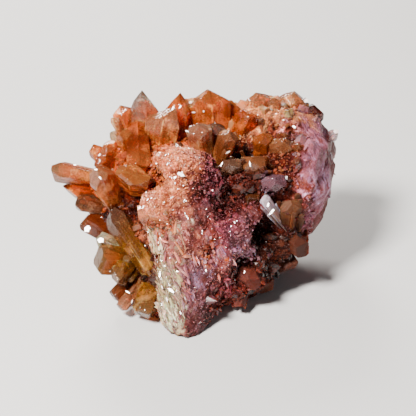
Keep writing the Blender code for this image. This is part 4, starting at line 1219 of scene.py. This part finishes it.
# %% Flakes
FLAKES = 70
FLAKE_CHOICE = 4
FLAKE_WIDTH = (0.12, 0.4)
FLAKE_DEPTH = (0.3, 0.8)
FLAKE_PITS = -0.8
FLAKE_STRAY = 0.05
FLAKE_LENGTH, FLAKE_SINK = 0.7, 0.4
FLAKE_SHAPE = (5, 0.999, 0.8, 0.0)
FLAKE_SEED = 23
FLAKE_COLOUR = (0.72, 0.56, 0.52)
FLASHES = {
    "left shade": ((-15.1, -1.3, 10.7), 1.1, 0.8), "left cream": ((-13.1, -3.5, 10.1), 1.0, 0.8),
    "rim": ((16.0, 14.2, 23.4), 0.8, 0.9), "far tip": ((20.5, 13.8, 18.7), 0.9, 0.8),
    "upper mound": ((-1.8, -7.6, 22.5), 1.2, 0.45), "mound left": ((-2.6, -7.7, 22.1), 0.5, 0.5),
    "dome top": ((-0.6, 7.9, 26.0), 0.6, 0.7), "dome middle": ((-0.2, 7.0, 24.9), 0.6, 0.35),
    "dome low": ((1.2, 6.9, 25.1), 0.4, 0.6), "slanted a": ((-4.0, 4.3, 26.3), 0.6, 0.3),
    "slanted b": ((-3.1, 4.4, 26.7), 0.9, 0.25), "slanted c": ((-2.1, 5.6, 26.4), 0.6, 0.3),
    "ridge a": ((-4.8, -8.8, 7.7), 1.0, 0.35), "ridge b": ((-4.5, -10.4, 6.6), 0.7, 0.3),
    "ridge c": ((-3.2, -11.1, 6.5), 1.2, 0.35), "ridge d": ((-3.8, -11.3, 5.2), 0.8, 0.3),
    "face a": ((1.5, -9.1, 8.6), 0.6, 0.3), "tan left": ((-1.1, 2.6, 24.1), 0.6, 0.25),
    "tan edge": ((-0.6, 2.9, 24.7), 0.5, 0.25), "bronze a": ((4.6, 1.2, 21.5), 0.8, 0.3),
    "red glass a": ((3.7, -0.2, 20.4), 0.8, 0.25), "band a": ((12.6, 4.4, 21.7), 0.9, 0.4),
    "band b": ((14.0, 7.3, 22.5), 0.7, 0.4), "splinter a": ((10.6, -3.8, 14.8), 1.2, 0.3),
    "splinter b": ((10.1, -3.6, 15.8), 0.7, 0.5), "low b": ((6.9, -6.3, 6.7), 0.5, 0.3),
    "rod a": ((-9.4, -6.6, 3.6), 0.8, 0.25), "rod b": ((-8.8, -7.5, 2.6), 0.6, 0.3),
    "blade a": ((-16.8, 2.1, 19.1), 0.5, 0.3), "frosted a": ((-13.5, -3.7, 21.3), 0.5, 0.4),
    "frosted b": ((-12.9, -4.3, 20.3), 0.6, 0.3), "hollow a": ((7.6, -1.3, 20.9), 0.9, 0.25),
    "lilac a": ((12.1, -0.4, 18.0), 0.6, 0.4), "lower mound": ((-7.0, -7.8, 17.6), 0.5, 0.5),
    "lower mound top": ((-3.1, -8.3, 19.4), 0.6, 0.4),
}
LAMP_WAY = unit(np.array(LAMPS["key"][0], dtype=float))
FLASH_WAY = unit(LAMP_WAY + back)


def build_flakes():
    """Thin five-sided plates that face the flash way within a little: the small ones by chance on
    the front of the rock, the named ones where the specimen flashes."""
    rng = np.random.default_rng(FLAKE_SEED)
    feet, out = draw_places(rng, FLAKES * FLAKE_CHOICE, GROWTHS["sugar"].density, FLAKE_PITS)
    facing = (out @ FLASH_WAY).argsort()[::-1][:FLAKES]
    named, named_widths, named_shares = (np.array(v) for v in zip(*FLASHES.values()))
    feet = np.concatenate([feet[facing], named])
    widths = np.concatenate([rng.uniform(*FLAKE_WIDTH, FLAKES), named_widths])
    depths = widths * np.concatenate([rng.uniform(*FLAKE_DEPTH, FLAKES), named_shares])
    leans = unit(FLASH_WAY + FLAKE_STRAY * rng.normal(size=feet.shape))
    spins = rng.uniform(0, 2 * math.pi, len(feet))
    tints = np.tile(FLAKE_COLOUR, (len(feet), 1))
    placed, faces, tints = copies(
        prism(*FLAKE_SHAPE), feet - FLAKE_SINK * depths[:, None] * FLASH_WAY, leans, spins,
        widths, depths, FLAKE_LENGTH * depths, tints,
    )
    piece = put_mesh("flakes", placed, faces, smooth=False)
    put_colour(piece, "tint", tints)
    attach(piece, "root")
    return piece


flakes = build_flakes()
print("flakes", triangles(flakes), "triangles")

# %% [markdown]
# ## Shader sums
# A material is a graph, but its sums read better as sums. This small class wraps a socket, so that
# an expression such as 1 - mask adds the Math nodes it needs.

# %% Wires
class Wire:
    """One output socket of a material, which can be used in sums with numbers and other wires."""

    def __init__(self, paint, socket):
        self.paint, self.socket = paint, socket

    def math(self, operation, *terms):
        return self.paint.node("ShaderNodeMath", {"operation": operation}, terms)

    def __add__(self, other):
        return self.math("ADD", self, other)

    __radd__ = __add__

    def __mul__(self, other):
        return self.math("MULTIPLY", self, other)

    __rmul__ = __mul__

    def __sub__(self, other):
        return self.math("SUBTRACT", self, other)

    def __rsub__(self, other):
        return self.math("SUBTRACT", other, self)

    def between(self, low, high):
        """0 below low, 1 above high, and a smooth step from one to the other."""
        return self.paint.node(
            "ShaderNodeMapRange", {"interpolation_type": "SMOOTHSTEP"},
            {"Value": self, "From Min": low, "From Max": high},
        )


# %% [markdown]
# ## One method for every node
# Any other node comes from one method, which takes the node's type, its settings and its sockets'
# values. The methods after it name the few nodes that the finishes use again and again.

# %% Paints
def rgba(colour):
    """A colour with the fourth number that colour sockets ask for."""
    return (*colour, 1.0)


class Paint:
    """A material that is being made."""

    def __init__(self, name):
        self.material = bpy.data.materials.new(name)
        self.material.use_nodes = True
        self.tree = self.material.node_tree
        self.tree.nodes.clear()
        self.output = self.tree.nodes.new("ShaderNodeOutputMaterial")

    def node(self, kind, settings=None, sockets=None, out=0):
        """Any node: its settings first, then its sockets' values or wires, given by place in a
        list or by name in a dict. Gives the wire of one output."""
        made = self.tree.nodes.new(kind)
        for key, value in (settings or {}).items():
            setattr(made, key, value)
        pairs = sockets.items() if isinstance(sockets, dict) else enumerate(sockets or [])
        for key, value in pairs:
            self.plug(made.inputs[key], value)
        return Wire(self, made.outputs[out])

    def plug(self, socket, value):
        if isinstance(value, Wire):
            self.tree.links.new(value.socket, socket)
        else:
            socket.default_value = value

    def noise(self, size_mm, detail=3.0, roughness=0.5, stretch=(1, 1, 1), turn=(0, 0, 0)):
        """A cloud of light and dark, about size_mm from one to the next, stretched along axes
        that are turned by turn."""
        at = self.node(
            "ShaderNodeMapping", {"vector_type": "TEXTURE"},
            {"Vector": self.node("ShaderNodeTexCoord", out="Object"), "Rotation": turn,
             "Scale": stretch},
        )
        sockets = {"Vector": at, "Scale": 1 / (size_mm * MM), "Detail": detail,
                   "Roughness": roughness}
        return self.node("ShaderNodeTexNoise", sockets=sockets)

    def cells(self, size_mm):
        """Grains about size_mm wide: 0 at the middle of each, and more towards its neighbours."""
        sockets = {"Vector": self.node("ShaderNodeTexCoord", out="Object"),
                   "Scale": 1 / (size_mm * MM)}
        return self.node("ShaderNodeTexVoronoi", sockets=sockets, out="Distance")

    def attribute(self, name, out="Fac"):
        """What each vertex keeps under a name: a number, or a colour where out is Color."""
        return self.node("ShaderNodeAttribute", {"attribute_name": name}, out=out)

    def mix(self, share, first, second, blend="MIX"):
        """One colour that turns into another as share goes from 0 to 1."""
        made = self.tree.nodes.new("ShaderNodeMix")
        made.data_type, made.blend_type = "RGBA", blend
        for key, value in ((0, share), (6, first), (7, second)):
            self.plug(made.inputs[key], value)
        return Wire(self, made.outputs[2])

    def times(self, share, colour, factor):
        """A colour whose channels are multiplied by factor's, as share goes from 0 to 1."""
        return self.mix(share, colour, rgba(factor), "MULTIPLY")

    def bump(self, height, distance_mm, strength, under=None):
        """Normals tilted as if the surface rose by distance_mm where height goes from 0 to 1."""
        sockets = {"Height": height, "Distance": distance_mm * MM, "Strength": strength}
        if under is not None:
            sockets["Normal"] = under
        return self.node("ShaderNodeBump", sockets=sockets)

    def surface(self, **sockets):
        """Blender's main surface, with its sockets named with _ for each space."""
        named = {key.replace("_", " "): value for key, value in sockets.items()}
        return self.node("ShaderNodeBsdfPrincipled", sockets=named)

    def finish(self, surface, inside=None):
        """Joins the surface, and what fills the inside, to the output."""
        self.tree.links.new(surface.socket, self.output.inputs["Surface"])
        if inside is not None:
            self.tree.links.new(inside.socket, self.output.inputs["Volume"])
        return self.material


# %% [markdown]
# ## The stone's finish
# Massive creedite is a mat of grains a few tenths of a millimetre across: each is a little glassy,
# so the mass looks like damp sugar. The colour comes from the places above, broken up by clouds,
# by pale streaks and by single grains, and painted shade darkens and reddens it where the rock lies
# deep in a pit. One colour with a noise bump would be simpler, but it looks like painted plaster: a
# little light has to go in and come out again beside, tinted by what it passed.

# %% Stone
CREEDITE_IOR = 1.47
STREAK_TURN = (0.0, math.radians(-20), 0.0)
STREAK_LENGTH = 4.0
PALE_STREAK, DARK_CLOUD = (2.2, 3.2, 3.6), (0.42, 0.22, 0.20)
PALE_SPECK, PIT_SHADE = (1.5, 1.9, 2.1), (0.30, 0.14, 0.11)
STONE_SHINE = (0.75, 0.42, 0.38)


def stone_finish():
    """Four tints multiply the stone's own colour, each by its own mask, and less where the stone
    is plain. The shine is weak and reddish, so that edges seen flat stay the stone's colour."""
    paint = Paint("massive_creedite")
    pit = paint.attribute("pit")
    cloud = paint.noise(1.5, 6, 0.7)
    streak = paint.noise(0.7, 5, 0.65, (1, 1, STREAK_LENGTH), STREAK_TURN)
    speck = paint.noise(0.3, 3, 0.6)
    base = paint.attribute("stone", out="Color")
    mixed = 0.25 + 0.75 * paint.attribute("contrast")
    colour = paint.times(streak.between(0.52, 0.68) * mixed, base, PALE_STREAK)
    colour = paint.times(cloud.between(0.5, 0.28) * mixed, colour, DARK_CLOUD)
    colour = paint.times(speck.between(0.62, 0.8) * mixed, colour, PALE_SPECK)
    # Painted shade: the stone is darker and redder where it lies deep in a pit.
    colour = paint.times(pit.between(0.3, 1.0), colour, PIT_SHADE)
    grit = paint.cells(0.28)
    normal = paint.bump(grit, 0.12, 0.8, paint.bump(paint.noise(0.8, 6, 0.7), 0.25, 0.8))
    return paint.finish(paint.surface(
        Base_Color=colour, Roughness=0.14 + 0.35 * speck + 0.2 * pit, Normal=normal,
        IOR=CREEDITE_IOR, Specular_IOR_Level=0.12, Specular_Tint=rgba(STONE_SHINE),
        Subsurface_Weight=0.35, Subsurface_Radius=(1.2, 0.45, 0.25), Subsurface_Scale=MM,
    ))


rock.data.materials.append(stone_finish())
print("stone finish", len(rock.data.materials[0].node_tree.nodes), "nodes")

# %% [markdown]
# ## The small crystals' finish
# A grain of a few tenths of a millimetre is clear, but a heap of them scatters light and looks
# milky. Real transmission through thousands of tiny prisms is slow and noisy, so they scatter
# light near the skin instead. The needles and the sugar shine, and the dust is dull.

# %% Small crystals' finish
PALE_PATCH = (1.6, 1.9, 2.0)
GRAIN_FINISHES = {
    "sugar": (0.04, 0.25), "needles": (0.05, 0.2), "blades": (0.06, 0.4), "dust": (0.5, 0.0),
    "flakes": (0.02, 0.0),
}


def grain_finish(name, roughness, subsurface):
    """The grain's own tint, paler in clouds, with how rough it is and how much it scatters."""
    paint = Paint(name)
    colour = paint.times(paint.noise(0.6, 3).between(0.5, 0.75),
                         paint.attribute("tint", out="Color"), PALE_PATCH)
    return paint.finish(paint.surface(
        Base_Color=colour, Roughness=roughness + 0.2 * paint.noise(0.5, 2), IOR=CREEDITE_IOR,
        Specular_IOR_Level=0.6, Subsurface_Weight=subsurface, Subsurface_Radius=(1.0, 0.4, 0.2),
        Subsurface_Scale=MM,
    ))


for name, numbers in GRAIN_FINISHES.items():
    piece = flakes if name == "flakes" else growths[name]
    piece.data.materials.append(grain_finish(name, *numbers))
print(len(GRAIN_FINISHES), "grain finishes")

# %% [markdown]
# ## The crystals' finish
# A creedite crystal is clear orange to brown inside, with frosted patches, veils and a dusting of
# iron on its skin. Two surfaces are mixed by a mask: a glassy one that lets light through to the
# orange inside, and a frosted one that scatters it near the skin. The inside takes out blue first,
# then green, as iron does. All glass would look like boiled sweets, and all frost like wax.

# %% Crystals' finish
RUST_STAIN, RUST_SPECK = (0.22, 0.035, 0.008), (0.16, 0.030, 0.010)
# A painted highlight along the crystals' edges is one of the tints below.
PAINTED_EDGE_HIGHLIGHT, FROST = (1.7, 2.2, 2.4), (1.5, 2.4, 3.0)
PALE_STRIPE, DARK_STRIPE = (1.6, 2.2, 2.6), (0.6, 0.45, 0.4)


def crystal_finish(name, inside_colour, inside_depth_mm, clear, dull=0.0):
    """inside_colour is what white light turns to after inside_depth_mm, clear is how much of the
    surface is glassy, and dull is how far dust takes its shine away."""
    paint = Paint(name)
    stripe = paint.attribute("stripe")
    tint = paint.attribute("tint", out="Color")
    along = paint.attribute("along")
    edge = paint.attribute("edge")
    veil = paint.noise(2.4, 4, 0.55)
    skin = paint.noise(0.22, 4, 0.6)
    speck = paint.cells(0.35)
    frost_and_highlight = (veil + 0.35 * skin - 0.2 * along + 0.1 * edge).between(clear, clear + 0.3)
    rust = paint.noise(1.0, 5, 0.72).between(0.57, 0.74) * (1.05 - along)
    colour = paint.mix(rust * 0.4, tint, rgba(RUST_STAIN))
    # Painted highlight: the colour is paler near the crystal's edges.
    colour = paint.times(edge * 0.5 * (1 - dull), colour, PAINTED_EDGE_HIGHLIGHT)
    colour = paint.times(stripe.between(0.7, 0.95) * 0.35, colour, PALE_STRIPE)
    colour = paint.times(stripe.between(0.3, 0.05) * 0.4, colour, DARK_STRIPE)
    specks = speck.between(0.22, 0.08) * skin.between(0.5, 0.6)
    colour = paint.mix(specks, colour, rgba(RUST_SPECK))
    # The frosted surface is paler than the glassy one, and more so near edges, which is painted
    # highlight.
    frosted_and_edge_highlight = paint.times((0.3 + 0.4 * edge) * (1 - dull), colour, FROST)
    normal = paint.bump(skin, 0.03, 0.5, paint.bump(veil, 0.06, 0.4))
    normal = paint.bump(stripe, 0.03, 0.5, normal)
    shine = {"Normal": normal, "IOR": CREEDITE_IOR, "Specular_IOR_Level": 0.5 * (1 - dull)}
    glassy = paint.surface(
        Base_Color=colour, Roughness=0.03 + 0.6 * dull + 0.15 * skin,
        Transmission_Weight=0.75 - 0.5 * dull, **shine,
    )
    milky = paint.surface(
        Base_Color=frosted_and_edge_highlight, Roughness=0.2 + 0.5 * dull + 0.3 * skin, Subsurface_Weight=0.75,
        Subsurface_Radius=(2.6, 0.8, 0.3), Subsurface_Scale=MM, **shine,
    )
    both = paint.node("ShaderNodeMixShader", sockets=[frost_and_highlight, glassy, milky])
    inside = paint.node("ShaderNodeVolumeAbsorption", sockets={
        "Color": rgba(inside_colour), "Density": 1 / (inside_depth_mm * MM),
    })
    return paint.finish(both, inside)


# %% [markdown]
# ## Which crystals get which finish
# Each spray takes the finish of its slot, except the two in the shade at the lower right, which
# are under a film of dust. The blocks on the rock get a finish of their own, with more frost.

# %% Finishes
DUSTY = {"front_right_spray", "low_right_spray"}
FINISHES = {name: crystal_finish(name, *numbers) for name, numbers in {
    "dusty_creedite": ((0.80, 0.40, 0.22), 1.4, 0.40, 0.8),
    "orange_creedite": ((0.94, 0.40, 0.12), 1.6, 0.50),
    "amber_creedite": ((0.86, 0.44, 0.12), 1.2, 0.55),
    "brown_creedite": ((0.80, 0.42, 0.22), 1.4, 0.58),
    "small_crystals": ((0.84, 0.42, 0.22), 1.4, 0.36),
}.items()}
for node, piece in sprays.items():
    finish = "dusty_creedite" if node in DUSTY else SPRAY_SLOTS[node]
    piece.data.materials.append(FINISHES[finish])
growths["blocks"].data.materials.append(FINISHES["small_crystals"])
print(len(FINISHES), "crystal finishes")

# %% [markdown]
# ## The floor
# The specimen stands on a table. A round sheet much wider than the view shows no edge, and a plain
# pale colour takes nothing from the stone. It is part of the stage and not of the object.

# %% Floor
FLOOR_RADIUS = 1200.0
FLOOR_SIDES = 64
turns = 2 * math.pi * np.arange(FLOOR_SIDES) / FLOOR_SIDES
floor_points = np.column_stack([np.cos(turns), np.sin(turns), 0 * turns]) * FLOOR_RADIUS
floor = put_mesh("floor", floor_points, np.arange(FLOOR_SIDES)[None], smooth=False)
floor_paint = Paint("floor")
floor.data.materials.append(floor_paint.finish(
    floor_paint.surface(Base_Color=rgba((0.66, 0.65, 0.64)), Roughness=0.7)
))
print("floor", FLOOR_RADIUS, "mm")
